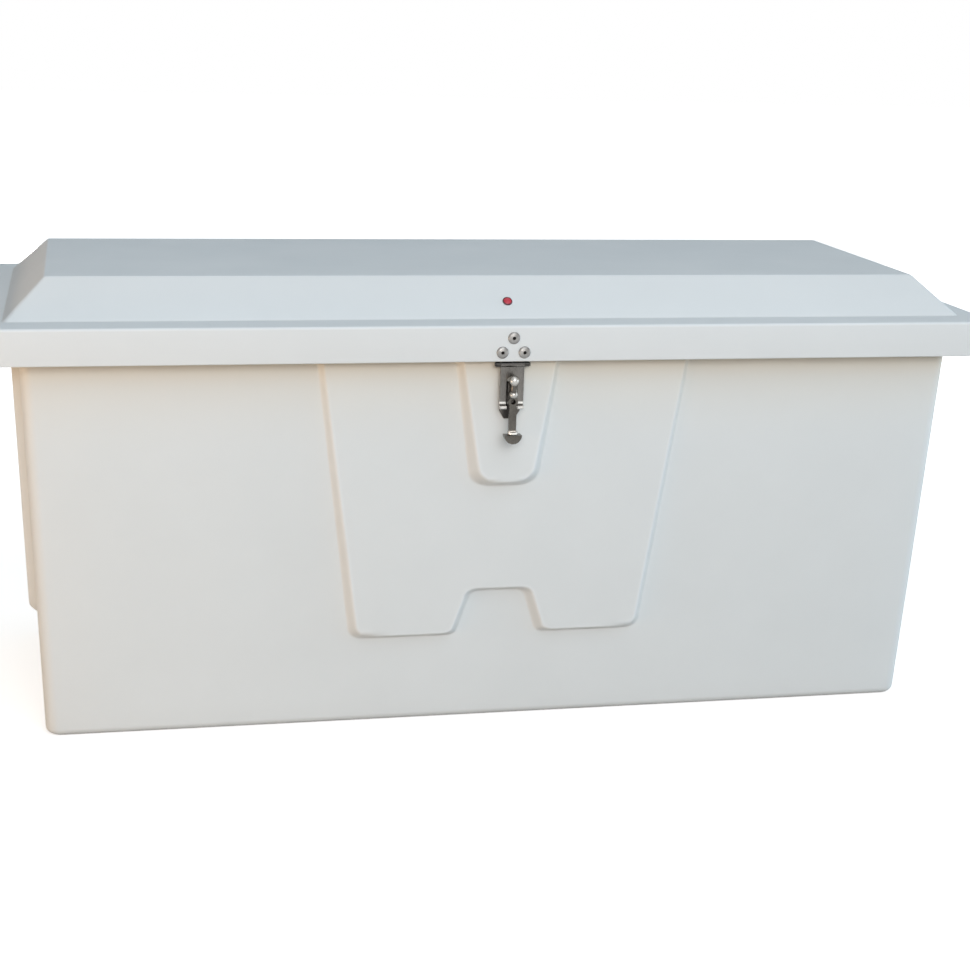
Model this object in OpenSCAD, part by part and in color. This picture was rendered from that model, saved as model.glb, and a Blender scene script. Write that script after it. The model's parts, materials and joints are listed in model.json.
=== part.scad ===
// Dock box: moulded tub, hinged lid with a sloped rim, strap hasp with a turn lever, two gas struts.
// Sizes in millimetres. Origin: middle of the base at floor level.
// +X is to the right seen from the front, -Y is the front, +Z is up.

/* [Lid] */
// Length of the lid over its skirt
lid_length = 1285; // [1150:5:1450]
// Depth of the lid over its skirt, front to back
lid_depth = 533; // [500:1:590]
// Height of the flat top above the floor
box_height = 580; // [565:1:640]
// Height of the vertical skirt
skirt_height = 45; // [43:1:50]
// Rise of the sloped band from the ledge to the flat top
lid_rise = 47.5; // [44:0.5:56]
// Run of the sloped band, seen from above
slope_run = 49; // [44:1:56]
// Width of the flat ledge along the front and the back
front_ledge = 45; // [42:1:50]
// Width of the flat ledge at the two ends
end_ledge = 34; // [30:1:40]
// Corner radius of the skirt
lid_corner = 25; // [20:1:30]
// Corner radius of the sloped band at the ledge
slope_corner = 7; // [6:1:14]
// Moulding thickness of lid and tub
wall = 5; // [4.5:0.1:5.5]

/* [Tub] */
// Overhang of the lid past the tub's end walls at the rim
end_overhang = 50.5; // [48:0.5:56]
// Lean of the end walls from the rim to the floor
end_draft = 18; // [10:1:30]
// Overhang of the lid past the tub's front and back walls at the rim
front_overhang = 30; // [27.5:0.5:33]
// Lean of the front and back walls from the rim to the floor
front_draft = 28.5; // [18:0.5:36]
// Corner radius of the tub
tub_corner = 15; // [12:1:36]
// Radius between the walls and the floor
base_fillet = 11; // [9:1:28]
// Space between the rim flange and the inside of the skirt
flange_gap = 6.5; // [6:0.1:7.5]
// Height of the rim seal
seal_height = 6; // [5:0.5:8]
// Width of the rim seal
seal_width = 11; // [8:0.5:12]

/* [Front panel] */
// Half width of the raised front panel at the rim
panel_top = 239; // [200:1:300]
// Half width of the raised front panel at its foot
panel_foot = 186; // [160:1:220]
// Height of the panel's foot above the floor
panel_foot_z = 122; // [100:1:150]
// How far the panel stands out at its foot
panel_proud = 13.5; // [9:0.5:15]
// Half width of the notch in the panel's foot
notch_foot = 59; // [42:1:72]
// Half width of the notch at its top
notch_top = 39; // [26:1:41]
// Height of the notch
notch_height = 60; // [40:1:90]
// Half width of the latch pad at the rim
pad_top = 68; // [60:1:74]
// Half width of the latch pad at its foot
pad_foot = 36; // [32:1:44]
// Height of the latch pad's foot above the floor
pad_foot_z = 331; // [312:1:348]

/* [End panels] */
// Distance from the raised end panels to the tub's front and back at the rim
end_margin = 51.5; // [44:0.5:70]
// Distance from the end panels' foot to the tub's front and back at the floor
foot_margin = 53; // [46:0.5:70]
// Height of the end panels' foot above the floor
end_foot_z = 142; // [120:1:180]
// How far the end panels stand out
end_proud = 13; // [9:0.5:15]

/* [Hasp] */
// Width of the hasp strap
strap_width = 30; // [27:0.5:34]
// Width of the strap's open slot
slot_width = 13.5; // [12.8:0.1:15]
// Distance from the hasp pin to the turn lever's axis
lever_drop = 36; // [34:0.5:40]
// Length of the turn lever from its axis to the end of its tab
lever_length = 61; // [52:1:70]
// Width of the thumb tab
tab_width = 22; // [18:1:28]
// Head diameter of the blind rivets
rivet_head = 15; // [12:0.5:16]

/* [Hinges] */
// Distance of the outer hinges from the lid's ends
hinge_inset = 212.5; // [160:2.5:320]
// Width of each hinge
hinge_width = 80; // [72:1:96]
// Height of each hinge leaf
leaf_height = 36; // [32:1:38]

/* [Gas struts] */
// Distance from the lid's hinge axis to both strut pivots
strut_reach = 240; // [216:1:264]
// Height of the strut's lid pivot above the underside of the ledge
pivot_lift = 16.5; // [14:0.5:18]
// Angle between both strut pivots seen from the hinge axis with the lid shut, in degrees
strut_spread = 66; // [65:0.25:68]
// Diameter of the gas cylinder
cylinder_d = 18; // [15:0.5:19]
// Diameter of the piston rod
rod_d = 8; // [6:0.5:9]

/* [Reflector] */
// Diameter of the red reflector in the front slope
reflector_d = 12.5; // [10:0.5:18]
// Distance of the reflector to the right of the middle
reflector_x = 5; // [-40:1:40]

/* [Hidden] */
// radial clearance of pins and shafts
fit = 0.05;
// plate thickness of the stainless fittings
plate = 2;
ledge_z = box_height - lid_rise;
skirt_z = ledge_z - skirt_height;
rim_z = ledge_z - wall - seal_height;
lid_x = lid_length / 2;
lid_y = lid_depth / 2;
rim_x = lid_x - wall - flange_gap;
rim_y = lid_y - wall - flange_gap;
rim_length = lid_length - 2 * end_overhang;
rim_depth = lid_depth - 2 * front_overhang;
base_length = rim_length - 2 * end_draft;
base_depth = rim_depth - 2 * front_draft;
end_top = rim_depth / 2 - end_margin;
end_foot = base_depth / 2 - foot_margin;
flat_x = lid_x - end_ledge - slope_run;
flat_y = lid_y - front_ledge - slope_run;
slope_angle = atan2(lid_rise, slope_run);
// moulded edges
edge = 5;
lean = 0.65;
corner_steps = 7;
panel_rim_y = rim_depth / 2 + 7.5;
pad_y = lid_y - wall - plate - 7;
end_rim_x = rim_length / 2 + end_proud + 1;
// hasp positions
pin_r = 1.6;
barrel_r = 3.2;
hasp_z = skirt_z - barrel_r - 0.7;
hasp_y = -lid_y + wall - plate + barrel_r - 2.5;
leaf_half = strap_width / 2 + 5.5;
leaf_top = 36;
curl_r = 3.5;
curl_z = hasp_z - lever_drop - 16.5;
slot_top_z = hasp_z - 15;
lever_z = hasp_z - lever_drop;
lever_y = hasp_y + plate / 2 - 2 * curl_r + 0.1;
shank_r = 4;
// oblong cam behind the lever's stem: it passes the slot upright and holds the lips crosswise
cam_half = slot_width / 2 - 0.75;
cam_r = norm([slot_width / 2, lever_z - curl_z - curl_r]) - 0.4;
// ball at the lever's upper end, which passes the slot upright
nose_r = slot_width / 2 - 0.6;
nose_rise = lever_drop / 2;
base_t = 2.5;
boss_t = 3.6;
base_bore_r = 1.65;
// hinge positions
knuckle_r = 5;
hinge_pin_r = 2.5;
hinge_y = lid_y + knuckle_r + 0.3;
hinge_z = skirt_z - 1.5;
hinge_x = [hinge_inset - lid_x, 0, lid_x - hinge_inset];
knuckle_gap = 0.4;
hinge_pad_top = skirt_z - 3.5;
hinge_pad_foot = hinge_z - leaf_height - 8;
hinge_pad_run = 40;
// large-flange rivets of the hinges
leaf_head_r = 4.75;
leaf_bore_r = 1.65;
leaf_tail_r = 2.6;
// strut positions
open_angle = 80;
strut_x = flat_x - 7;
bracket_x = strut_x + 10;
bracket_t = 3;
block_x = bracket_x + bracket_t;
block_half = 22;
block_far = 24;
block_near = 16;
screw_half = 13;
screw_step = 12;
strut_rise = asin((ledge_z - wall + pivot_lift - hinge_z) / strut_reach);
tub_pivot = [
    hinge_y - strut_reach * cos(strut_spread - strut_rise),
    hinge_z - strut_reach * sin(strut_spread - strut_rise)
];
lid_pivot = [hinge_y - strut_reach * cos(strut_rise), hinge_z + strut_reach * sin(strut_rise)];
shut_length = 2 * strut_reach * sin(strut_spread / 2);
open_length = 2 * strut_reach * sin((strut_spread + open_angle) / 2);
strut_tilt = atan2(lid_pivot[0] - tub_pivot[0], lid_pivot[1] - tub_pivot[1]);
stud_r = 4;
eye_r = 8.5;
eye_half = 5;
neck_r = 4.6;
tube_start = 14;
tube_end = shut_length - 17;
rod_inner = tube_start + 7;
tube_wall = 1.6;
guide_length = 10;
stroke = open_length - shut_length;
piston_left = tube_end - guide_length - rod_inner - stroke - 6;
echo(stroke = stroke, piston_left = piston_left);
echo(hinge = [hinge_y, hinge_z], hasp = [hasp_y, hasp_z], lever = [lever_y, lever_z], strut = strut_x);
echo(tub_pivot = tub_pivot, lid_pivot = lid_pivot, rim = rim_z, skirt = skirt_z);

$fn = 48;

// half depth and half length of the tub's outside at a height
function tub_y(z) = base_depth / 2 + (rim_depth - base_depth) / 2 * z / rim_z;
function tub_x(z) = base_length / 2 + (rim_length - base_length) / 2 * z / rim_z;

// rounded rectangle at one height, as a ring of points
function ring(hx, hy, r, z) = [
    for (q = [0 : 3])
        let (sx = (q == 0 || q == 3) ? 1 : -1, sy = q < 2 ? 1 : -1)
        for (k = [0 : corner_steps])
            let (a = 90 * q + 90 * k / corner_steps)
            [sx * (hx - r) + r * cos(a), sy * (hy - r) + r * sin(a), z]
];

// corner of a polygon rounded from a tangent length, as a row of points
function rounded(v, t) = [
    for (i = [0 : len(v) - 1])
        let (
            p = v[(i + len(v) - 1) % len(v)],
            c = v[i],
            n = v[(i + 1) % len(v)],
            a = c + (p - c) / norm(p - c) * t[i],
            b = c + (n - c) / norm(n - c) * t[i]
        )
        for (k = [0 : 6])
            let (s = k / 6)
            (1 - s) * (1 - s) * a + 2 * s * (1 - s) * c + s * s * b
];

// solid skin over a list of rings with equal point counts
module skin(rings, loop = false) {
    n = len(rings[0]);
    m = len(rings);
    last = loop ? m - 1 : m - 2;
    sides = [
        for (j = [0 : last])
            for (i = [0 : n - 1])
                let (
                    a = j * n + i,
                    b = j * n + (i + 1) % n,
                    c = ((j + 1) % m) * n + (i + 1) % n,
                    d = ((j + 1) % m) * n + i
                )
                each [[a, c, b], [a, d, c]]
    ];
    caps = loop ? [] : [
        for (i = [1 : n - 2])
            each [[0, i, i + 1], [(m - 1) * n, (m - 1) * n + i + 1, (m - 1) * n + i]]
    ];
    polyhedron(points = [for (r = rings) each r], faces = concat(sides, caps));
}

// raised form on a front wall: trapezoid from foot to top, face leaning with the wall
// each step is [inset of the outline, depth behind the face]
module raised(top, foot, foot_z, top_z, y_top, y_foot, steps, round_by) {
    skin([
        for (s = steps)
            let (
                z0 = foot_z + s[0],
                a0 = foot + (top - foot) * s[0] / (top_z - foot_z) - s[0],
                a1 = top - s[0],
                line = rounded(
                    [[-a0, z0], [a0, z0], [a1, top_z], [-a1, top_z]],
                    [round_by, round_by, 1, 1]
                )
            )
            [
                for (p = line)
                    [p[0], s[1] - y_foot - (y_top - y_foot) * (p[1] - foot_z) / (top_z - foot_z), p[1]]
            ]
    ]);
}

// inset and depth steps of a raised form with a rounded edge, or of the recess behind it
function outside_steps(deep) = [
    [-lean * (deep - edge), deep], [0, edge], [0.12 * edge, 0.55 * edge],
    [0.45 * edge, 0.14 * edge], [edge, 0]
];
function recess_steps(deep) = [
    [0.62 * wall - lean * (deep - edge), deep + wall],
    [0.62 * wall, edge + wall],
    [edge + 0.5 * wall, wall]
];

module notch(grow, deep) {
    z0 = panel_foot_z;
    steps = [
        [-edge, -4], [-edge, 0], [-0.45 * edge, 0.14 * edge],
        [-0.12 * edge, 0.55 * edge], [0, edge], [lean * (deep - edge), deep]
    ];
    skin([
        for (s = [for (k = [len(steps) - 1 : -1 : 0]) steps[k]])
            let (
                low = z0 - notch_height,
                slant = (notch_foot - notch_top) / notch_height,
                a0 = notch_foot + grow + notch_height * slant - s[0],
                a1 = notch_top + grow - s[0],
                z1 = z0 + notch_height + grow - s[0],
                t = min(14, 0.7 * a1),
                line = rounded([[-a0, low], [a0, low], [a1, z1], [-a1, z1]], [1, 1, t, t])
            )
            [for (p = line) [p[0], s[1] - front_face(p[1]), p[1]]]
    ]);
}

// distance of the front panel's face from the middle at a height
function front_foot() = tub_y(panel_foot_z) + panel_proud;
function front_face(z) = front_foot()
    + (panel_rim_y - front_foot()) * (z - panel_foot_z) / (panel_top_z() - panel_foot_z);
function panel_top_z() = rim_z - 2;
function end_face_foot() = tub_x(end_foot_z) + end_proud - 1.5;

module front_panel() {
    difference() {
        raised(
            panel_top, panel_foot, panel_foot_z, panel_top_z(),
            panel_rim_y, front_foot(), outside_steps(18), 22
        );
        notch(0, 22);
    }
}

module front_recess() {
    difference() {
        raised(
            panel_top, panel_foot, panel_foot_z + 1, panel_top_z() - 10,
            panel_rim_y - 0.5, front_foot(), recess_steps(16), 20
        );
        notch(wall * 0.7, 24);
    }
}

module latch_pad() {
    raised(pad_top, pad_foot, pad_foot_z, panel_top_z(), pad_y, pad_y, outside_steps(20), 16);
}

module latch_recess() {
    raised(pad_top, pad_foot, pad_foot_z + 1, panel_top_z() - 13, pad_y, pad_y, recess_steps(19), 14);
}

module end_panel() {
    raised(
        end_top, end_foot, end_foot_z, panel_top_z(),
        end_rim_x, end_face_foot(), outside_steps(20), 30
    );
}

module end_recess() {
    raised(
        end_top, end_foot, end_foot_z + 1, panel_top_z() - 10,
        end_rim_x - 0.4, end_face_foot(), recess_steps(17), 27
    );
}

// depth of the hinge pads from their face to the drafted wall
function hinge_pad_deep() = lid_y - tub_y(hinge_pad_foot - hinge_pad_run) + 2;

module hinge_pad() {
    half = hinge_width / 2 + 8;
    raised(
        half, half - 4, hinge_pad_foot, hinge_pad_top,
        lid_y, lid_y, outside_steps(hinge_pad_deep()), 12
    );
}

module hinge_recess() {
    half = hinge_width / 2 + 8;
    raised(
        half, half - 4, hinge_pad_foot + 1, hinge_pad_top - 6,
        lid_y, lid_y, recess_steps(hinge_pad_deep() + 1.5), 10
    );
}

module at_hinges() {
    for (x = hinge_x) {
        translate([x, 0, 0])
            rotate([0, 0, 180])
                children();
    }
}

module both_ends() {
    rotate([0, 0, 90])
        children();
    rotate([0, 0, -90])
        children();
}

// cylinder along Y from y0 to y1
module bar_y(x, z, r, y0, y1) {
    translate([x, y0, z])
        rotate([-90, 0, 0])
            cylinder(r = r, h = y1 - y0);
}

// cylinder along X from x0 to x1
module bar_x(y, z, r, x0, x1) {
    translate([x0, y, z])
        rotate([0, 90, 0])
            cylinder(r = r, h = x1 - x0);
}

module tub_outside() {
    f = base_fillet;
    u = rim_z - wall;
    skin([
        for (k = [5 : -1 : 1])
            let (a = 90 * k / 5, i = f * (1 - cos(a)), z = f * (1 - sin(a)))
            ring(tub_x(z) - i, tub_y(z) - i, tub_corner + 2 - i * 0.5, z),
        ring(tub_x(f), tub_y(f), tub_corner + 2, f),
        ring(tub_x(u - 7), tub_y(u - 7), tub_corner, u - 7),
        ring(tub_x(u - 2) + 1.5, tub_y(u - 2) + 1.5, tub_corner, u - 2),
        ring(tub_x(u) + 5, tub_y(u) + 5, tub_corner, u),
        ring(rim_x, rim_y, lid_corner - wall, u),
        ring(rim_x, rim_y, lid_corner - wall, rim_z)
    ]);
}

module tub_inside() {
    f = base_fillet - wall;
    w = wall;
    skin([
        for (k = [5 : -1 : 1])
            let (a = 90 * k / 5, z = w + f * (1 - sin(a)))
            ring(tub_x(z) - w - f + f * cos(a), tub_y(z) - w - f + f * cos(a), tub_corner - w, z),
        ring(tub_x(w + f) - w, tub_y(w + f) - w, tub_corner - w, w + f),
        ring(tub_x(rim_z + 9) - w, tub_y(rim_z + 9) - w, tub_corner - w, rim_z + 9)
    ]);
}

module tub() {
    color([0.93, 0.93, 0.91])
        difference() {
            union() {
                tub_outside();
                front_panel();
                latch_pad();
                both_ends()
                    end_panel();
                at_hinges()
                    hinge_pad();
            }
            tub_inside();
            front_recess();
            latch_recess();
            both_ends()
                end_recess();
            at_hinges()
                hinge_recess();
            bar_y(0, lever_z, shank_r + 0.6, -pad_y - 3, -pad_y + 14);
            for (x = [-8, 8]) {
                bar_y(x, lever_z - 18, base_bore_r, -pad_y - 3, -pad_y + 14);
            }
            at_hinges()
                leaf_bores(hinge_z - leaf_height * 0.62, -1);
        }
}

module rim_seal() {
    h = seal_height;
    half = seal_width / 2;
    mid_x = rim_x - half - 2;
    mid_y = rim_y - half - 2;
    r = lid_corner - wall - half - 2 + 6;
    side = [[1, 0], [1, 0.45], [0.82, 0.75], [0.45, 0.94], [0.2, 1]];
    profile = [
        for (p = side) [half * p[0], h * p[1]],
        for (k = [len(side) - 1 : -1 : 0]) [-half * side[k][0], h * side[k][1]]
    ];
    color([0.12, 0.12, 0.13])
        skin([for (p = profile) ring(mid_x + p[0], mid_y + p[0], r + p[0], rim_z + p[1])], true);
}

module lid() {
    w = wall;
    t = tan(slope_angle / 2);
    color([0.94, 0.94, 0.93])
        difference() {
            skin([
                ring(lid_x, lid_y, lid_corner, skirt_z),
                ring(lid_x, lid_y, lid_corner, ledge_z - 4),
                ring(lid_x - 0.6, lid_y - 0.6, lid_corner - 0.6, ledge_z - 2),
                ring(lid_x - 2, lid_y - 2, lid_corner - 2, ledge_z - 0.6),
                ring(lid_x - 4, lid_y - 4, lid_corner - 4, ledge_z),
                ring(lid_x - end_ledge, lid_y - front_ledge, slope_corner, ledge_z),
                ring(flat_x + 4, flat_y + 4, slope_corner - 1.5, box_height - 4 * tan(slope_angle)),
                ring(flat_x + 1, flat_y + 1, slope_corner - 2, box_height - 1.3),
                ring(flat_x - 3.5, flat_y - 3.5, slope_corner - 2.5, box_height - 0.1),
                ring(flat_x - 6, flat_y - 6, slope_corner - 3, box_height)
            ]);
            skin([
                ring(lid_x - w, lid_y - w, lid_corner - w, skirt_z - 5),
                ring(lid_x - w, lid_y - w, lid_corner - w, ledge_z - w),
                ring(lid_x - end_ledge - w * t, lid_y - front_ledge - w * t, slope_corner - 2, ledge_z - w),
                ring(flat_x - w * t, flat_y - w * t, slope_corner - 3, box_height - w)
            ]);
            for (p = rivet_places()) {
                bar_y(p[0], p[1], 3.2, -lid_y - 2, -lid_y + 8);
            }
            at_hinges()
                leaf_bores(hinge_z + leaf_height * 0.62, 1);
        }
}

// hasp leaf rivets: one above, two below
function rivet_places() = [
    [0, skirt_z + 29.5],
    [-13.8, skirt_z + 11.5],
    [13.8, skirt_z + 11.5]
];

// blind rivet along Y, head towards -Y, with its mandrel hole and its set tail
module blind_rivet(head_r, shank_r, grip, tail_r, tail) {
    h = head_r * 0.36;
    rotate([90, 0, 0])
        rotate_extrude()
            polygon([
                [0, -grip - tail], [tail_r * 0.7, -grip - tail], [tail_r, -grip - tail * 0.5], [tail_r, -grip],
                [shank_r, -grip], [shank_r, 0], [head_r, 0], [head_r, h * 0.25], [head_r * 0.9, h * 0.6],
                [head_r * 0.65, h * 0.87], [head_r * 0.27, h], [head_r * 0.27, h * 0.2], [0, h * 0.2]
            ]);
}

module hasp_rivets() {
    color([0.72, 0.72, 0.71])
        for (p = rivet_places()) {
            translate([p[0], -lid_y, p[1]])
                blind_rivet(rivet_head / 2, 3.15, wall + plate, 4.4, 1.5);
        }
}

module hasp_leaf() {
    color([0.6, 0.59, 0.57])
        difference() {
            union() {
                translate([-leaf_half, -lid_y + wall, hasp_z + barrel_r + 1])
                    cube([2 * leaf_half, plate, skirt_z + leaf_top - hasp_z - barrel_r - 1]);
                for (s = [-1, 1]) {
                    translate([s * (leaf_half + strap_width / 2 + 0.4) / 2, 0, 0]) {
                        w = leaf_half - strap_width / 2 - 0.4;
                        bar_x(hasp_y, hasp_z, barrel_r, -w / 2, w / 2);
                        translate([-w / 2, -lid_y + wall, hasp_z])
                            cube([w, plate, barrel_r + 2]);
                    }
                }
            }
            bar_x(hasp_y, hasp_z, pin_r + fit, -leaf_half - 5, leaf_half + 5);
            for (p = rivet_places()) {
                bar_y(p[0], p[1], 3.2, -lid_y + wall - 3, -lid_y + wall + 6);
            }
        }
}

module hasp_pin() {
    color([0.7, 0.7, 0.7]) {
        bar_x(hasp_y, hasp_z, pin_r, -leaf_half - 1, leaf_half + 1);
        for (s = [-1, 1]) {
            translate([s * (leaf_half + 1), 0, 0])
                bar_x(hasp_y, hasp_z, pin_r + 0.9, -0.6, 0.6);
        }
    }
}

module hasp_strap() {
    half = strap_width / 2;
    prong = (strap_width - slot_width) / 2;
    color([0.5, 0.48, 0.46])
        difference() {
            union() {
                bar_x(hasp_y, hasp_z, barrel_r, -half, half);
                translate([-half, hasp_y - plate / 2, curl_z])
                    cube([2 * half, plate, hasp_z - curl_z]);
                for (s = [-1, 1]) {
                    translate([s * (half - prong / 2), hasp_y - curl_r + plate / 2, curl_z])
                        rotate([0, -90, 0])
                            rotate([0, 0, 90])
                                rotate_extrude(angle = 205, start = 0)
                                    translate([curl_r - plate, -prong / 2])
                                        square([plate, prong]);
                }
            }
            bar_x(hasp_y, hasp_z, pin_r + fit, -half - 5, half + 5);
            bar_y(0, slot_top_z - slot_width / 2, slot_width / 2, hasp_y - 5, hasp_y + 5);
            translate([-slot_width / 2, hasp_y - 20, curl_z - 20])
                cube([slot_width, 30, slot_top_z - slot_width / 2 - curl_z + 20]);
        }
}

module latch_base() {
    half = 13;
    color([0.55, 0.54, 0.52])
        difference() {
            union() {
                translate([0, -pad_y, lever_z])
                    rotate([90, 0, 0])
                        linear_extrude(height = base_t)
                            polygon([
                                [-half, 11], [-half, -24], [-half + 6, -34], [half - 6, -34],
                                [half, -24], [half, 11], [half - 3, 13], [-half + 3, 13]
                            ]);
                bar_y(0, lever_z, 6.6, -pad_y - base_t - boss_t, -pad_y - base_t / 2);
            }
            bar_y(0, lever_z, shank_r + fit, -pad_y - 20, -pad_y + 5);
            for (x = [-8, 8]) {
                bar_y(x, lever_z - 18, base_bore_r, -pad_y - 10, -pad_y + 5);
            }
        }
}

module latch_base_rivets() {
    color([0.72, 0.72, 0.71])
        for (x = [-8, 8]) {
            translate([x, -pad_y - base_t, lever_z - 18])
                blind_rivet(3.2, base_bore_r - fit, wall + base_t, 2.5, 2);
        }
}

module turn_lever() {
    tab_z = lever_z - lever_length + tab_width / 2;
    color([0.56, 0.54, 0.51])
        difference() {
            union() {
                bar_y(0, lever_z, shank_r, lever_y - 4, -pad_y + wall + 10);
                translate([0, lever_y - 5.2, lever_z])
                    sphere(r = 5.6);
                translate([0, lever_y - 6.2, lever_z])
                    cylinder(r = 4.2, h = nose_rise);
                translate([0, lever_y - 1 - nose_r, lever_z + nose_rise])
                    sphere(r = nose_r);
                bar_y(0, lever_z - 9, 6, lever_y - 5.5, lever_y - 0.5);
                intersection() {
                    bar_y(0, lever_z, cam_r, lever_y - 2, hasp_y - plate / 2 - 0.4);
                    translate([-cam_half, lever_y - 10, lever_z - 20])
                        cube([2 * cam_half, 40, 40]);
                }
                translate([-4.6, lever_y - 5.5, lever_z - lever_length + 9])
                    cube([9.2, 5, lever_length - 9]);
                translate([0, lever_y - 7, lever_z - lever_length + 13.5])
                    cylinder(r = 6.5, h = 2.6, center = true);
                intersection() {
                    translate([0, lever_y - 5, tab_z])
                        bar_y(0, 0, tab_width / 2, -7, 4.5);
                    translate([-tab_width, lever_y - 20, lever_z - lever_length - 1])
                        cube([2 * tab_width, 40, 12]);
                }
            }
            bar_y(0, lever_z - 9, 3.2, lever_y - 12, lever_y + 6);
        }
}

module lever_washer() {
    color([0.75, 0.75, 0.75])
        difference() {
            bar_y(0, lever_z, 9, -pad_y + wall + 0.3, -pad_y + wall + 1.9);
            bar_y(0, lever_z, shank_r + fit, -pad_y, -pad_y + wall + 8);
        }
}

module lever_nut() {
    color([0.75, 0.75, 0.75])
        difference() {
            translate([0, -pad_y + wall + 1.9, lever_z])
                rotate([-90, 0, 0])
                    cylinder(r = 7.5, h = 6, $fn = 6);
            bar_y(0, lever_z, shank_r + fit, -pad_y, -pad_y + wall + 20);
        }
}

module reflector_at() {
    run = slope_run * 0.4;
    translate([reflector_x, -lid_y + front_ledge + run, ledge_z + run * tan(slope_angle)])
        rotate([slope_angle, 0, 0])
            children();
}

module reflector_rim() {
    r = reflector_d / 2;
    color([0.35, 0.06, 0.12])
        reflector_at()
            rotate_extrude()
                polygon([
                    [0, 0], [r, 0], [r, 0.8], [r - 0.5, 1.5], [r - 1.3, 1.7], [r - 1.3, 0.7], [0, 0.7]
                ]);
}

module reflector_lens() {
    r = reflector_d / 2 - 1.35;
    color([0.8, 0.1, 0.15])
        reflector_at()
            rotate_extrude()
                polygon([
                    [0, 0.7], [r, 0.7], [r, 1.4], [r * 0.85, 2], [r * 0.6, 2.5], [r * 0.3, 2.75], [0, 2.8]
                ]);
}

// rivet bores of one hinge leaf, seen from behind the box
module leaf_bores(z, up) {
    for (p = leaf_rivets(z, up)) {
        bar_y(p[0], p[1], leaf_bore_r, -lid_y - 6, -lid_y + 9);
    }
}

function leaf_rivets(z, up) = [
    [-hinge_width * 0.36, z], [hinge_width * 0.36, z], [0, z + up * 5]
];

// plate of a hinge leaf with its knuckles, seen from behind the box
// up is 1 for the lid's leaf with two knuckles and -1 for the tub's leaf with three
module hinge_leaf(up) {
    step = hinge_width / 5;
    reach = knuckle_r + 0.8;
    first = up > 0 ? 1 : 0;
    z0 = up > 0 ? hinge_z + reach : hinge_z - leaf_height;
    color([0.62, 0.61, 0.6])
        difference() {
            union() {
                translate([-hinge_width / 2, -lid_y - plate, z0])
                    cube([hinge_width, plate, leaf_height - reach]);
                for (k = [first : 2 : 4]) {
                    x0 = -hinge_width / 2 + k * step + knuckle_gap / 2;
                    x1 = x0 + step - knuckle_gap;
                    bar_x(-hinge_y, hinge_z, knuckle_r, x0, x1);
                    translate([x0, -lid_y - plate, up > 0 ? hinge_z : hinge_z - reach - 1])
                        cube([x1 - x0, plate, reach + 1]);
                }
            }
            bar_x(-hinge_y, hinge_z, hinge_pin_r + fit, -hinge_width, hinge_width);
            leaf_bores(hinge_z + up * leaf_height * 0.62, up);
        }
}

module one_hinge(i) {
    translate([hinge_x[i], 0, 0])
        rotate([0, 0, 180])
            children();
}

module hinge_lower_leaf_left() {
    one_hinge(0)
        hinge_leaf(-1);
}

module hinge_lower_leaf_centre() {
    one_hinge(1)
        hinge_leaf(-1);
}

module hinge_lower_leaf_right() {
    one_hinge(2)
        hinge_leaf(-1);
}

module hinge_upper_leaf_left() {
    one_hinge(0)
        hinge_leaf(1);
}

module hinge_upper_leaf_centre() {
    one_hinge(1)
        hinge_leaf(1);
}

module hinge_upper_leaf_right() {
    one_hinge(2)
        hinge_leaf(1);
}

module hinge_pins() {
    half = hinge_width / 2;
    color([0.7, 0.7, 0.7])
        at_hinges() {
            bar_x(-hinge_y, hinge_z, hinge_pin_r, -half - 1, half + 1);
            bar_x(-hinge_y, hinge_z, hinge_pin_r + 1.2, -half - 1.6, -half);
            bar_x(-hinge_y, hinge_z, hinge_pin_r + 1.2, half, half + 1.6);
        }
}

module leaf_rivet_set(up) {
    color([0.72, 0.72, 0.71])
        at_hinges()
            for (p = leaf_rivets(hinge_z + up * leaf_height * 0.62, up)) {
                translate([p[0], -lid_y - plate, p[1]])
                    blind_rivet(leaf_head_r, leaf_bore_r - fit, wall + plate, leaf_tail_r, 1.5);
            }
}

module lower_leaf_rivets() {
    leaf_rivet_set(-1);
}

module upper_leaf_rivets() {
    leaf_rivet_set(1);
}

// places of the two screws of a strut bracket: below the tub's stud, above the lid's stud
function screw_places(pivot, up) = [
    [pivot[0] - screw_half, pivot[1] + up * screw_step],
    [pivot[0] + screw_half, pivot[1] + up * screw_step]
];

module strut_bracket(pivot, up) {
    color([0.62, 0.62, 0.62])
        difference() {
            union() {
                hull() {
                    bar_x(pivot[0], pivot[1], 10, bracket_x, bracket_x + bracket_t);
                    for (p = screw_places(pivot, up)) {
                        bar_x(p[0], p[1], 6.5, bracket_x, bracket_x + bracket_t);
                    }
                }
                bar_x(pivot[0], pivot[1], 6.2, strut_x + eye_half + 0.4, bracket_x + 1);
                bar_x(pivot[0], pivot[1], stud_r, strut_x - eye_half - 2, bracket_x + 1);
                bar_x(pivot[0], pivot[1], 6, strut_x - eye_half - 2.4, strut_x - eye_half - 0.4);
            }
            for (p = screw_places(pivot, up)) {
                bar_x(p[0], p[1], 2.3, bracket_x - 5, bracket_x + 10);
            }
        }
}

module bracket_screws(pivot, up) {
    for (p = screw_places(pivot, up)) {
        translate([bracket_x, p[0], p[1]])
            rotate([0, 90, 0])
                rotate_extrude()
                    polygon([[0, -2.2], [2.4, -2.2], [3.6, -1.6], [4, 0], [2.2, 0], [2.2, 8], [0, 10]]);
    }
}

module left_and_right() {
    children();
    mirror([1, 0, 0])
        children();
}

module tub_strut_bracket_right() {
    strut_bracket(tub_pivot, -1);
}

module tub_strut_bracket_left() {
    mirror([1, 0, 0])
        strut_bracket(tub_pivot, -1);
}

module lid_strut_bracket_right() {
    strut_bracket(lid_pivot, 1);
}

module lid_strut_bracket_left() {
    mirror([1, 0, 0])
        strut_bracket(lid_pivot, 1);
}

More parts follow.
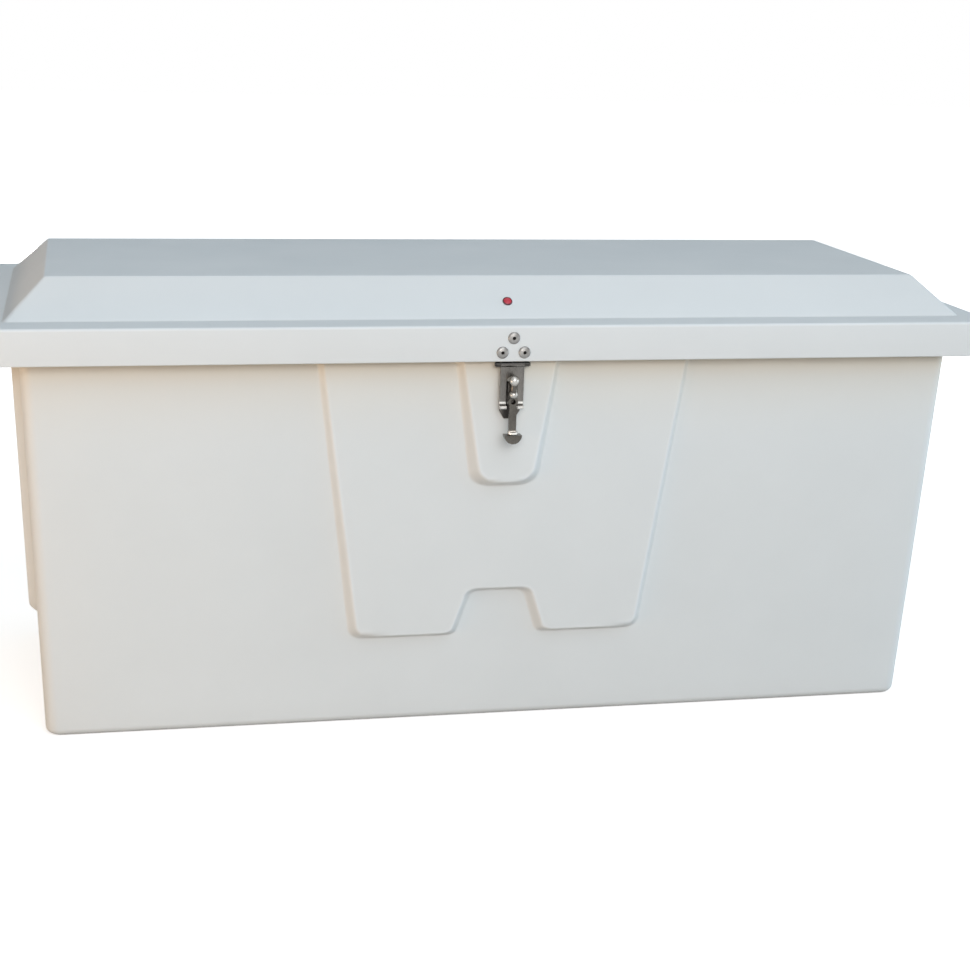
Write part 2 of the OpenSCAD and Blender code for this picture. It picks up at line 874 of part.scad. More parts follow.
module tub_bracket_screws() {
    color([0.75, 0.75, 0.75])
        left_and_right()
            bracket_screws(tub_pivot, -1);
}

module lid_bracket_screws() {
    color([0.75, 0.75, 0.75])
        left_and_right()
            bracket_screws(lid_pivot, 1);
}

// block on the recess of the end panel, its back on the drafted wall
module tub_strut_blocks() {
    z0 = tub_pivot[1] - block_far;
    z1 = tub_pivot[1] + block_near;
    color([0.85, 0.85, 0.82])
        left_and_right()
            difference() {
                translate([0, tub_pivot[0] + block_half, 0])
                    rotate([90, 0, 0])
                        linear_extrude(height = 2 * block_half)
                            polygon([
                                [block_x, z0], [end_inner(z0), z0], [end_inner(z1), z1], [block_x, z1]
                            ]);
                for (p = screw_places(tub_pivot, -1)) {
                    bar_x(p[0], p[1], 2.25, block_x - 2, block_x + 9);
                }
            }
}

// inside of the end panel's recess at a height
function end_inner(z) = let (
        z0 = end_foot_z + 1,
        z1 = panel_top_z() - 10
    ) end_face_foot() + (end_rim_x - 0.4 - end_face_foot()) * (z - z0) / (z1 - z0) - wall;

// wedge under the end slope of the lid
module lid_strut_blocks() {
    t = tan(slope_angle / 2);
    low_x = lid_x - end_ledge - wall * t;
    low_z = ledge_z - wall;
    z0 = low_z + 3;
    z1 = low_z + (low_x - block_x) * tan(slope_angle);
    color([0.85, 0.85, 0.82])
        left_and_right()
            difference() {
                translate([0, lid_pivot[0] + block_half, 0])
                    rotate([90, 0, 0])
                        linear_extrude(height = 2 * block_half)
                            polygon([
                                [block_x, z0], [low_x - 3 / tan(slope_angle), z0], [block_x, z1]
                            ]);
                for (p = screw_places(lid_pivot, 1)) {
                    bar_x(p[0], p[1], 2.25, block_x - 2, block_x + 9);
                }
            }
}

// strut frame: the tub pivot at the origin, +Z towards the lid pivot
module strut_at(side) {
    translate([side * strut_x, tub_pivot[0], tub_pivot[1]])
        rotate([-strut_tilt, 0, 0])
            children();
}

module strut_cylinder(side) {
    r = cylinder_d / 2;
    color([0.1, 0.1, 0.11])
        strut_at(side)
            difference() {
                union() {
                    bar_x(0, 0, eye_r, -eye_half, eye_half);
                    cylinder(r = neck_r, h = tube_start + 2);
                    translate([0, 0, tube_start])
                        cylinder(r = r, h = tube_end - tube_start);
                }
                bar_x(0, 0, stud_r + fit, -eye_half - 5, eye_half + 5);
                translate([0, 0, tube_start + 4])
                    cylinder(r = r - tube_wall, h = tube_end);
            }
}

module strut_guide(side) {
    r = cylinder_d / 2 - tube_wall;
    color([0.2, 0.2, 0.2])
        strut_at(side)
            translate([0, 0, tube_end - guide_length])
                difference() {
                    union() {
                        cylinder(r = r, h = guide_length);
                        translate([0, 0, guide_length])
                            cylinder(r = r + 1, h = 1);
                    }
                    translate([0, 0, -5])
                        cylinder(r = rod_d / 2 + fit, h = guide_length + 10);
                }
}

module strut_rod(side) {
    color([0.78, 0.78, 0.8])
        strut_at(side)
            difference() {
                union() {
                    translate([0, 0, rod_inner])
                        cylinder(r = rod_d / 2, h = shut_length - rod_inner - 4);
                    translate([0, 0, rod_inner])
                        cylinder(r = cylinder_d / 2 - tube_wall - 0.4, h = 5);
                    translate([0, 0, shut_length - 13])
                        cylinder(r = neck_r, h = 9);
                    bar_x(0, shut_length, eye_r, -eye_half, eye_half);
                }
                bar_x(0, shut_length, stud_r + fit, -eye_half - 5, eye_half + 5);
            }
}

module strut_cylinder_right() {
    strut_cylinder(1);
}

module strut_cylinder_left() {
    strut_cylinder(-1);
}

module strut_guide_right() {
    strut_guide(1);
}

module strut_guide_left() {
    strut_guide(-1);
}

module strut_rod_right() {
    strut_rod(1);
}

module strut_rod_left() {
    strut_rod(-1);
}

tub();
rim_seal();
latch_base();
latch_base_rivets();
hinge_lower_leaf_left();
hinge_lower_leaf_centre();
hinge_lower_leaf_right();
hinge_pins();
lower_leaf_rivets();
tub_strut_blocks();
tub_strut_bracket_left();
tub_strut_bracket_right();
tub_bracket_screws();
lid();
hasp_leaf();
hasp_rivets();
hasp_pin();
reflector_rim();
reflector_lens();
hinge_upper_leaf_left();
hinge_upper_leaf_centre();
hinge_upper_leaf_right();
upper_leaf_rivets();
lid_strut_blocks();
lid_strut_bracket_left();
lid_strut_bracket_right();
lid_bracket_screws();
hasp_strap();
turn_lever();
lever_washer();
lever_nut();
strut_cylinder_left();
strut_cylinder_right();
strut_guide_left();
strut_guide_right();
strut_rod_left();
strut_rod_right();
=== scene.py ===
# Dock box: moulded tub and lid, stainless hasp and hinges, gas struts
import json
import math

import bmesh
import bpy
import numpy as np
from mathutils import Matrix, Vector


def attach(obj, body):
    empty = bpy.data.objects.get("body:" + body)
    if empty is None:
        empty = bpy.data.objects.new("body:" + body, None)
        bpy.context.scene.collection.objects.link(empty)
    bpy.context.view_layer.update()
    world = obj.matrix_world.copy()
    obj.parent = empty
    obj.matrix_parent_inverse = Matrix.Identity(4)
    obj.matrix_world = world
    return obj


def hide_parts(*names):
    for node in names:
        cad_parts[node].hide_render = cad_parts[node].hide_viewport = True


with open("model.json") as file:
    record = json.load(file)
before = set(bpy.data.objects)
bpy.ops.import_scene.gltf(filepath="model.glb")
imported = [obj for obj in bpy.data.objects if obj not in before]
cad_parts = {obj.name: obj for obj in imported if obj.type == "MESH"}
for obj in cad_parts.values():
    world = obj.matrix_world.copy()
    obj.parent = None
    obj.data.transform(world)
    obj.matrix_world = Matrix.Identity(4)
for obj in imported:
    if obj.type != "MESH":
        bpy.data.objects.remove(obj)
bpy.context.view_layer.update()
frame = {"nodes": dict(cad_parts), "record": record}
nodes = frame["nodes"]
scene = bpy.context.scene
mm = 0.001
print("frame loaded:", len(nodes), "nodes")

# camera, as fitted to the lid's edges
shot = {
    "place": (-511.9, -2447.0, 925.4),      # millimetres
    "yaw": 0.21719,                         # radians to the right
    "pitch": 0.26013,                       # radians down
    "roll": 0.03068,                        # radians, right side up
    "focal": 1855.3,                        # pixels
    "longSide": 971,                        # pixels
    "sensor": 36,                           # millimetres
    "clip": (0.05, 200),                    # metres
}


# view axes: yaw turns about Z, pitch tips the view down, roll turns it about itself
def makeCamera(s):
    right = Vector((math.cos(s["yaw"]), -math.sin(s["yaw"]), 0))
    level = Vector((math.sin(s["yaw"]), math.cos(s["yaw"]), 0))
    up = Vector((0, 0, 1))
    ahead = level * math.cos(s["pitch"]) - up * math.sin(s["pitch"])
    over = up * math.cos(s["pitch"]) + level * math.sin(s["pitch"])
    side = right * math.cos(s["roll"]) + over * math.sin(s["roll"])
    top = over * math.cos(s["roll"]) - right * math.sin(s["roll"])
    data = bpy.data.cameras.new("photo_camera")
    data.sensor_width = s["sensor"]
    data.lens = s["sensor"] * s["focal"] / s["longSide"]
    data.clip_start, data.clip_end = s["clip"]
    cam = bpy.data.objects.new("photo_camera", data)
    scene.collection.objects.link(cam)
    turn = Matrix((side, top, -ahead)).transposed().to_4x4()
    cam.matrix_world = Matrix.Translation(Vector(s["place"]) * mm) @ turn
    scene.camera = cam


makeCamera(shot)
print("camera placed")


# how close two heights are, 1 where they meet and 0 from k on
def meeting(a, b, k):
    return np.maximum(k - np.abs(a - b), 0) / k


# the smaller of two distances, with a corner rounded over k
def softMin(a, b, k):
    h = meeting(a, b, k)
    return np.minimum(a, b) - h * h * k / 4


# the larger of two heights, with a fillet of width k where they meet
def softMax(a, b, k):
    return -softMin(-a, -b, k)


# grids of points (rows, columns, xyz) in millimetres become one mesh; the columns of each run round in a loop,
# its first and its last row are closed by a fan of triangles to their middles
def gridMesh(name, grids, marks):
    points, faces, start = [], [], 0
    for grid in grids:
        rows, cols = grid.shape[:2]
        ends = np.array([grid[0].mean(0), grid[-1].mean(0)])
        p = np.vstack([grid.reshape(-1, 3), ends]) * mm
        at = np.arange(rows * cols).reshape(rows, cols)
        nextCol = np.roll(at, -1, axis=1)
        quads = np.stack([at[:-1], nextCol[:-1], nextCol[1:], at[1:]], axis=-1).reshape(-1, 4)
        low = np.stack([np.full(cols, rows * cols), nextCol[0], at[0]], axis=-1)
        high = np.stack([np.full(cols, rows * cols + 1), at[-1], nextCol[-1]], axis=-1)
        # the sign of the volume says whether the faces look outwards
        t = p[np.vstack([quads[:, [0, 1, 2]], quads[:, [0, 2, 3]], low, high])]
        way = 1 if np.einsum("ij,ij->i", t[:, 0], np.cross(t[:, 1], t[:, 2])).sum() > 0 else -1
        faces += [face for part in (quads, low, high) for face in (part[:, ::way] + start).tolist()]
        points.append(p)
        start += len(p)
    mesh = bpy.data.meshes.new(name)
    mesh.from_pydata(np.vstack(points), [], faces)
    for key, layers in marks.items():
        full = np.concatenate([np.append(values.ravel(), values[[0, -1]].mean(1)) for values in layers])
        layer = mesh.attributes.new(key, "FLOAT", "POINT")
        layer.data.foreach_set("value", full.astype(np.float32))
    mesh.shade_smooth()
    mesh.update()
    piece = bpy.data.objects.new(name, mesh)
    scene.collection.objects.link(piece)
    return piece


# columns between breakpoints: each is a straight blend of two neighbours
def columnBlend(counts):
    blend = np.zeros((sum(counts) + 1, len(counts) + 1))
    start = 0
    for i, n in enumerate(counts):
        t = np.arange(n) / n
        blend[start:start + n, i] = 1 - t
        blend[start:start + n, i + 1] = t
        start += n
    blend[-1, -1] = 1
    return blend


# heights in bands: pairs of (upper end, number of steps) from a start
def bands(start, steps):
    out = [np.array([start])]
    for stop, n in steps:
        out.append(np.linspace(out[-1][-1], stop, n + 1)[1:])
    return np.concatenate(out)


# one side of a loop with the quarter round after it, turned by quarters about Z: across and out are the side's
# points along it and away from the middle, straight is half its length, plain the distance of its wall
def sideAndCorner(turn, across, out, straight, plain, r, z, steps):
    angle = np.linspace(0, 90, steps + 2)[1:-1] * math.pi / 180
    along = np.concatenate([across, straight[:, None] + r[:, None] * np.sin(angle)], axis=1)
    outward = np.concatenate([out, (plain - r)[:, None] + r[:, None] * np.cos(angle)], axis=1)
    c, s = [(1, 0), (0, 1), (-1, 0), (0, -1)][turn]
    return np.stack([c * along + s * outward, s * along - c * outward, z[:, None] + 0 * along], axis=-1)


tubForm = {
    "rimHalf": (592.0, 236.5),              # outside at the rim, half length and half depth
    "baseHalf": (574.0, 208.0),             # outside at the floor
    "rimZ": 521.5,
    "wall": 5.0,
    "inset": 0.62,                          # inside, an outline is smaller by this share of the wall
    "corner": 15.0,                         # corner radius at the rim
    "cornerDraft": 2.0,                     # and this much more at the floor
    "baseFillet": 11.0,
    "filletCorner": 0.5,                    # corner radius lost for each millimetre that the fillet goes in
    "flare": (5.0, 9.0, 2.5),               # fillet under the flange: reach, height and power
    "flangeHalf": (631.0, 255.0),
    "flangeCorner": 20.0,
    "edge": 5.0,                            # depth of the outline behind a raised face
    "lean": 0.65,                           # run of a side flank for each millimetre of height
    "footLean": 0.45,                       # the same for flanks that face down
    "crown": 3.0,                           # rounding of raised edges
    "fillet": 3.6,                          # fillet at the foot of a flank
    "wear": (4.0, 2.5),                     # worn edge with a painted highlight: distance inside the outline and spread
    "formTop": 519.5,
    "panel": (186.0, 239.0, 122.0),         # half width at the foot, at the rim, height of the foot
    "panelFace": (228.17, 244.0),           # distance of the face at the foot and at the rim
    "panelRound": 22.0,                     # rounding of the foot's corners
    "notch": (59.0, 39.0, 60.0),            # half width at the foot, at the top, height
    "notchRound": 14.0,
    "notchEdge": 12.0,                      # rounding where the notch cuts the panel's foot
    "pad": (36.0, 68.0, 328.0),
    "padFace": 252.5,
    "padRound": 30.0,
    "end": (155.0, 185.0, 146.0),
    "endFace": (590.4, 603.0),
    "endRound": 34.0,
    "endInside": (1.0, 0.4),                # inside, the foot is higher and the rim further in
    "hingePad": (44.0, 48.0, 442.0, 484.0),
    "hingePadFace": 266.5,
    "hingePadRound": 14.0,
    "hingeX": (-430.0, 0.0, 430.0),
    "recess": (10.0, 13.0, 6.0),            # inside, how far below its top a panel, the pad and a hinge pad end
}
farDown = -1e3                              # a height behind every wall


# distance inside a trapezoid that widens upwards, its foot corners rounded over k;
# upright distances are stretched, so that a flank that faces down is steeper than the sides
def insideForm(across, z, foot, top, footZ, topZ, k, steep):
    slant = (top - foot) / (topZ - footZ)
    side = (foot + slant * (z - footZ) - np.abs(across)) / math.hypot(1, slant)
    return softMin(side, (z - footZ) * steep, k)


# depth behind a raised face at a distance inside its outline: a leaning flank that rounds into the face
def flankDepth(d, f):
    return softMax((f["edge"] * f["lean"] - d) / f["lean"], np.zeros_like(d), f["crown"])


# wear and painted highlight on a raised edge: a bell curve of the distance inside the outline, only where the form
# stands proud
def sheenAndWearEdge(d, proud, f):
    return np.exp(-((d - f["wear"][0]) / f["wear"][1]) ** 2) * proud


# how far the inside lies behind the outside: a face by the wall, an outline by a share of it
def wallSteps(f, inner):
    return (f["wall"], f["inset"] * f["wall"]) if inner else (0.0, 0.0)


# front wall: the drafted wall, the notched panel and the latch pad, each the highest where it stands
def frontHeight(x, z, plain, f, inner):
    drop, inset = wallSteps(f, inner)
    foot, top, footZ = f["panel"]
    notchFoot, notchTop, notchHigh = f["notch"]
    slant = (notchTop - notchFoot) / notchHigh
    notchSide = (notchFoot + slant * (z - footZ) - np.abs(x)) / math.hypot(1, slant)
    steep = f["lean"] / f["footLean"]
    notch = softMin(notchSide, (footZ + notchHigh - z) * steep, f["notchRound"])
    panel = insideForm(x, z, foot, top, footZ, f["formTop"], f["panelRound"], steep)
    panel = softMin(panel, -notch, f["notchEdge"]) - inset
    share = (z - footZ) / (f["formTop"] - footZ)
    face = f["panelFace"][0] + (f["panelFace"][1] - f["panelFace"][0]) * share - drop
    panelHigh = face - flankDepth(panel, f)
    pad = insideForm(x, z, *f["pad"], f["formTop"], f["padRound"], steep) - inset
    padHigh = f["padFace"] - drop - flankDepth(pad, f)
    if inner:
        panelHigh = np.where(z > f["formTop"] - f["recess"][0], farDown, panelHigh)
        padHigh = np.where(z > f["formTop"] - f["recess"][1], farDown, padHigh)
    body = softMax(plain, panelHigh, f["fillet"])
    crease = np.maximum(meeting(plain, panelHigh, f["fillet"]), meeting(body, padHigh, f["fillet"]))
    ridge = np.maximum(sheenAndWearEdge(panel, panelHigh > plain, f), sheenAndWearEdge(pad, padHigh > plain, f))
    return softMax(body, padHigh, f["fillet"]), crease, ridge


# end wall: the drafted wall and one raised panel
def endHeight(y, z, plain, f, inner):
    drop, inset = wallSteps(f, inner)
    foot, top, footZ = f["end"]
    form = insideForm(y, z, foot, top, footZ, f["formTop"], f["endRound"], f["lean"] / f["footLean"]) - inset
    low, high, rim = footZ, f["formTop"], f["endFace"][1]
    if inner:
        low, high, rim = low + f["endInside"][0], high - f["recess"][0], rim - f["endInside"][1]
    face = f["endFace"][0] + (rim - f["endFace"][0]) * (z - low) / (high - low)
    height = face - drop - flankDepth(form, f)
    if inner:
        height = np.where(z > high, farDown, height)
    crease = meeting(plain, height, f["fillet"])
    return softMax(plain, height, f["fillet"]), crease, sheenAndWearEdge(form, height > plain, f)


# rear wall: the drafted wall and three hinge pads that end in a shelf under the lid
def backHeight(x, z, plain, f, inner):
    drop, inset = wallSteps(f, inner)
    foot, top, footZ, topZ = f["hingePad"]
    shelf = topZ - (f["recess"][2] if inner else 0.0)
    out, crease, ridge = plain, np.zeros_like(plain), np.zeros_like(plain)
    for middle in f["hingeX"]:
        form = insideForm(x - middle, z, foot, top, footZ, topZ, f["hingePadRound"], 1.0) - inset
        height = f["hingePadFace"] - drop - flankDepth(form, f)
        height = np.where(z > shelf, farDown, height)
        crease = np.maximum(crease, meeting(plain, height, f["fillet"]))
        ridge = np.maximum(ridge, sheenAndWearEdge(form, height > plain, f))
        out = softMax(out, height, f["fillet"])
    return out, crease, ridge


tubColumns = {
    "front": (5, 22, 5, 30, 4, 30, 5, 22, 5),                   # columns from breakpoint to breakpoint
    "end": (2, 16, 6, 16, 2),
    "back": (3, 12, 3, 12, 3, 12, 3, 12, 3, 12, 3, 12, 3),
    "corner": 8,
    "panelEdge": (12, 8),                   # breakpoints lie this far outside and inside an edge
    "padEdge": (15, 14),
    "endEdge": (13, 8),
    "hingeEdge": (28, 9),
    "endGap": 2,                            # least distance from a corner
}


# breakpoints of the columns on the front, which follow the slanted edges of the panel, the notch and the pad
def frontBreaks(z, straight, f):
    foot, top, footZ = f["panel"]
    outer = foot + (top - foot) * (z - footZ) / (f["formTop"] - footZ)
    stops = [footZ, footZ + f["notch"][2], f["pad"][2], f["formTop"]]
    inner = np.interp(z, stops, [*f["notch"][:2], *f["pad"][:2]])
    (panelOut, panelIn), (padOut, padIn) = tubColumns["panelEdge"], tubColumns["padEdge"]
    half = [straight, outer + panelOut, outer - panelIn, inner + padOut, inner - padIn]
    return np.stack([-h for h in half] + half[::-1], axis=-1)


# the same on an end, along the slanted edges of its panel
def endBreaks(z, straight, f):
    foot, top, footZ = f["end"]
    edge = foot + (top - foot) * (z - footZ) / (f["formTop"] - footZ)
    far, near = tubColumns["endEdge"]
    half = [straight, np.minimum(edge + far, straight - tubColumns["endGap"]), edge - near]
    return np.stack([-h for h in half] + half[::-1], axis=-1)


# the same on the back, along both edges of each hinge pad
def backBreaks(z, straight, f):
    foot, top, footZ, topZ = f["hingePad"]
    half = foot + (top - foot) * np.clip((z - footZ) / (topZ - footZ), 0, 1)
    far, near = tubColumns["hingeEdge"]
    stops = [-straight]
    for middle in f["hingeX"]:
        stops += [middle - half - far, middle - half + near, middle + half - near, middle + half + far]
    return np.stack(stops + [straight], axis=-1)


# rows of the tub: each is a loop of front, right end, back and left end with quarter rounds between;
# half lengths, half depths, corner radii and heights are given for each row, and shaped rows have raised forms
def tubRows(f, hx, hy, r, z, inner=False, shaped=True):
    plan = [
        ("front", frontBreaks, frontHeight, hx - r, hy),
        ("end", endBreaks, endHeight, hy - r, hx),
        ("back", backBreaks, backHeight, hx - r, hy),
        ("end", endBreaks, endHeight, hy - r, hx),
    ]
    bare = np.zeros((len(z), tubColumns["corner"]))
    sides = []
    for turn, (key, breaks, height, straight, plain) in enumerate(plan):
        across = breaks(z, straight, f) @ columnBlend(tubColumns[key]).T
        out = np.repeat(plain[:, None], across.shape[1], axis=1)
        crease, ridge = np.zeros_like(across), np.zeros_like(across)
        if shaped:
            seen = -across if key == "back" else across
            out, crease, ridge = height(seen, z[:, None] + 0 * across, out, f, inner)
        points = sideAndCorner(turn, across, out, straight, plain, r, z, tubColumns["corner"])
        sides.append((points, np.hstack([crease, bare]), np.hstack([ridge, bare])))
    return tuple(np.concatenate(part, axis=1) for part in zip(*sides))


# half length or half depth of the drafted wall at a height
def drafted(f, axis, z):
    return f["baseHalf"][axis] + (f["rimHalf"][axis] - f["baseHalf"][axis]) * z / f["rimZ"]


tubRowPlan = {
    "fillet": 9,                            # rows round the base
    "outer": [                              # upper end of a band and its number of rows, from the fillet up
        (108, 4), (132, 32), (151, 12), (172, 6), (190, 20), (318, 6), (348, 30), (408, 5),
        (446, 20), (483.97, 8), (484.03, 1), (505, 5)],
    "underFlange": (0.05, 8),               # gap under the flange and number of rows up to it
    "mouth": 2,                             # the inner wall starts this far below the flange's underside
    "inner": [                              # the same from the mouth down
        (509.53, 3), (509.47, 1), (506.53, 1), (506.47, 1), (478.03, 5), (477.97, 1), (448, 5), (414, 9),
        (344, 5), (312, 11), (196, 5), (166, 10), (154, 2), (106, 16)],
    "aboveCove": 5,
    "cove": 7,
}


# tub shell: underside, rounded base, outer wall, flange, inner wall and inner floor as one grid of rows
def makeTub(f, plan):
    w, top, fil = f["wall"], f["rimZ"], f["baseFillet"]
    under = top - w
    a = np.linspace(90, 0, plan["fillet"]) * math.pi / 180
    gap, last = plan["underFlange"]
    upper = bands(fil, plan["outer"] + [(under - gap, last)])
    z = np.concatenate([fil * (1 - np.sin(a[:-1])), upper])
    inset = np.concatenate([fil * (1 - np.cos(a[:-1])), np.zeros(len(upper))])
    reach, high, power = f["flare"]
    flare = reach * np.clip((z - (under - high)) / high, 0, 1) ** power
    r = f["corner"] + f["cornerDraft"] - f["cornerDraft"] * z / top - inset * f["filletCorner"]
    outer = tubRows(f, drafted(f, 0, z) - inset + flare, drafted(f, 1, z) - inset + flare, r, z)

    # flange and mouth as (outward, up): underside, rounded edge and top, then the rounded inner edge
    lip = np.array([[-1.5, 0], [-0.45, 0.3], [0, 1.2], [0, w - 1.6], [-0.6, w - 0.5], [-2, w]])
    mouth = np.array([[2.5, w], [0.8, w - 0.5], [0.15, w - 1.6]])
    flange = tubRows(f, f["flangeHalf"][0] + lip[:, 0], f["flangeHalf"][1] + lip[:, 0],
                     f["flangeCorner"] + lip[:, 0], under + lip[:, 1], shaped=False)
    mz = under + mouth[:, 1]
    rim = tubRows(f, drafted(f, 0, mz) - w + mouth[:, 0], drafted(f, 1, mz) - w + mouth[:, 0],
                  np.full(len(mz), f["corner"] - w), mz, shaped=False)

    inFil = fil - w
    b = np.linspace(0, 90, plan["cove"]) * math.pi / 180
    down = bands(under - plan["mouth"], plan["inner"] + [(w + inFil, plan["aboveCove"])])
    zi = np.concatenate([down, w + inFil * (1 - np.sin(b[1:]))])
    cove = np.concatenate([np.zeros(len(down)), inFil * (1 - np.cos(b[1:]))])
    inner = tubRows(f, drafted(f, 0, zi) - w - cove, drafted(f, 1, zi) - w - cove,
                    np.full(len(zi), f["corner"] - w), zi, inner=True)

    parts = [outer, flange, rim, inner]
    grid, crease, ridge = (np.concatenate([p[i] for p in parts]) for i in range(3))
    inside = np.zeros(crease.shape)
    inside[len(grid) - len(zi):] = 1
    piece = gridMesh("tub_shell", [grid], {"crease": [crease], "ridge": [ridge], "inside": [inside]})
    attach(piece, "tub_body")
    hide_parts("tub")
    return piece


lidForm = {
    "half": (642.5, 266.5),
    "skirtZ": 487.5,
    "ledgeZ": 532.5,
    "topZ": 580.0,
    "ledge": (34.0, 45.0),                  # width at the ends and at the front
    "run": 49.0,                            # run of the sloped band
    "corner": 25.0,                         # radius of the skirt's corners
    "hip": (6.0, 3.5),                      # radius of the sloped band's corners at its foot and its top
    "wall": 5.0,
    "lipRound": 1.6,
    "skirtRound": 4.0,
    "coveRound": 4.0,
    "topRound": 5.0,
    "innerRounds": (5.0, 13.0, 2.5),        # inside, at the top's edge, at the slope's foot and in the skirt
    "innerCorner": (20.0, 2.0, 2.5),        # inside corners: a wall smaller up to this inset, then by this, never under this
    "lipGap": 0.1,                          # between the two ends of the profile, under the skirt
    "topReach": 60.0,                       # of the profile on the flat top
    "roundSteps": 7,
    "columns": (25, 11),                    # along the front and along an end
    "gather": 1.6,                          # power by which columns close up towards the corners
    "cornerSteps": 12,
}


# a bent line of (inset, height) points with each inner corner rounded by its radius, n steps to a corner;
# a rounded corner is a circle that touches both legs
def roundLine(line, radii, n):
    line = np.array(line, float)
    out = [line[:1]]
    for i, radius in enumerate(radii, start=1):
        before = line[i - 1] - line[i]
        after = line[i + 1] - line[i]
        before /= np.linalg.norm(before)
        after /= np.linalg.norm(after)
        half = math.acos(np.clip(before @ after, -1, 1)) / 2
        bisect = (before + after) / np.linalg.norm(before + after)
        centre = line[i] + bisect * radius / math.sin(half)
        start = line[i] + before * radius / math.tan(half) - centre
        stop = line[i] + after * radius / math.tan(half) - centre
        sweep = math.pi - 2 * half
        t = np.linspace(0, 1, n)[:, None]
        arc = (np.sin((1 - t) * sweep) * start + np.sin(t * sweep) * stop) / math.sin(sweep)
        out.append(centre + arc)
    out.append(line[-1:])
    return np.concatenate(out)


# rings of rounded rectangles: insets at the ends and at the front, heights and corner radii for each ring;
# the columns of a side close up towards its ends by a power
def ringRows(f, insetX, insetY, z, r):
    hx, hy = f["half"][0] - insetX, f["half"][1] - insetY
    sides = []
    for turn in range(4):
        straight, plain = (hx - r, hy) if turn % 2 == 0 else (hy - r, hx)
        t = np.linspace(-1, 1, f["columns"][turn % 2])
        t = np.sign(t) * (1 - (1 - np.abs(t)) ** f["gather"])
        out = plain[:, None] + 0 * t[None, :]
        sides.append(sideAndCorner(turn, straight[:, None] * t, out, straight, plain, r, z, f["cornerSteps"]))
    return np.concatenate(sides, axis=1)


# lid shell: the skirt, ledge, slope and top outside, then the same line one wall further in, as one grid
def makeLid(f):
    w, n = f["wall"], f["roundSteps"]
    low, ledge, top = f["skirtZ"], f["ledgeZ"], f["topZ"]
    lean = math.atan2(top - ledge, f["run"])
    shift = w * math.tan(lean / 2)
    profiles = []
    for width in f["ledge"]:
        edge = width + f["run"]
        far = edge + f["topReach"]
        outside = roundLine(
            [(w / 2, low), (0, low), (0, ledge), (width, ledge), (edge, top), (far, top)],
            [f["lipRound"], f["skirtRound"], f["coveRound"], f["topRound"]], n)
        inside = roundLine(
            [(far, top - w), (edge + shift, top - w), (width + shift, ledge - w), (w, ledge - w),
             (w, low), (w / 2 + f["lipGap"], low)],
            [*f["innerRounds"], f["lipRound"]], n)
        profiles.append(np.concatenate([outside, inside]))
    endLine, frontLine = profiles
    count = len(outside)
    foot = f["ledge"][0]
    r = np.interp(endLine[:, 0], [0, f["skirtRound"], foot - f["coveRound"], foot + f["run"]],
                  [f["corner"], f["corner"] - f["skirtRound"], *f["hip"]])
    isInside = np.arange(len(r)) >= count
    reach, less, least = f["innerCorner"]
    r = np.where(isInside, np.maximum(r - np.where(endLine[:, 0] < reach, w, less), least), r)
    order = np.concatenate([np.arange(count)[::-1], np.arange(count, len(r))[::-1]])
    grid = ringRows(f, endLine[order, 0], frontLine[order, 0], endLine[order, 1], r[order])

    # outside, the rounds are the lip, the skirt's edge, the cove and the top's edge; dirt settles in the cove, and the
    # other rounds get wear and a painted highlight
    crease, ridge = np.zeros(len(r)), np.zeros(len(r))
    wave = np.sin(np.linspace(0, math.pi, n))
    crease[1 + 2 * n:1 + 3 * n] = wave
    for k in (0, 1, 3):
        ridge[1 + k * n:1 + (k + 1) * n] = wave
    spread = np.ones((1, grid.shape[1]))
    marks = {"crease": crease, "ridge": ridge, "inside": isInside.astype(float)}
    piece = gridMesh("lid_shell", [grid], {key: [row[order][:, None] * spread] for key, row in marks.items()})
    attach(piece, "lid_body")
    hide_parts("lid")
    return piece


tubShell = makeTub(tubForm, tubRowPlan)
lidShell = makeLid(lidForm)
print("shells made:", len(tubShell.data.polygons), len(lidShell.data.polygons))

haspRivets = {
    "places": ((-13.8, 499.0), (13.8, 499.0), (0.0, 517.0)),   # across and height
    "faceY": -266.5,
    "head": 7.5,                            # radius
    "crown": 2.7,                           # height of the head
    "hole": 2.05,                           # radius of the mandrel hole
    "shank": 3.1,
    "grip": 7.0,
    "tail": (4.4, 1.5),                     # radius and length
    "lipDark": 0.55,                        # share of painted shade on the hole's edge
    "rimDark": (0.8, 0.7, 0.35),            # and painted shade round the head's rim, from below
    "domeSteps": 9,
    "steps": 40,                            # round the axis
}


# lathe along Y: radius and height of each profile point, turned round the axis in steps
def lathe(profile, middle, steps):
    turn = np.arange(steps) * 2 * math.pi / steps
    r, high = profile[:, :1], profile[:, 1:]
    x, y, z = middle
    return np.stack([x + r * np.cos(turn), y - high + 0 * turn, z + r * np.sin(turn)], axis=-1)


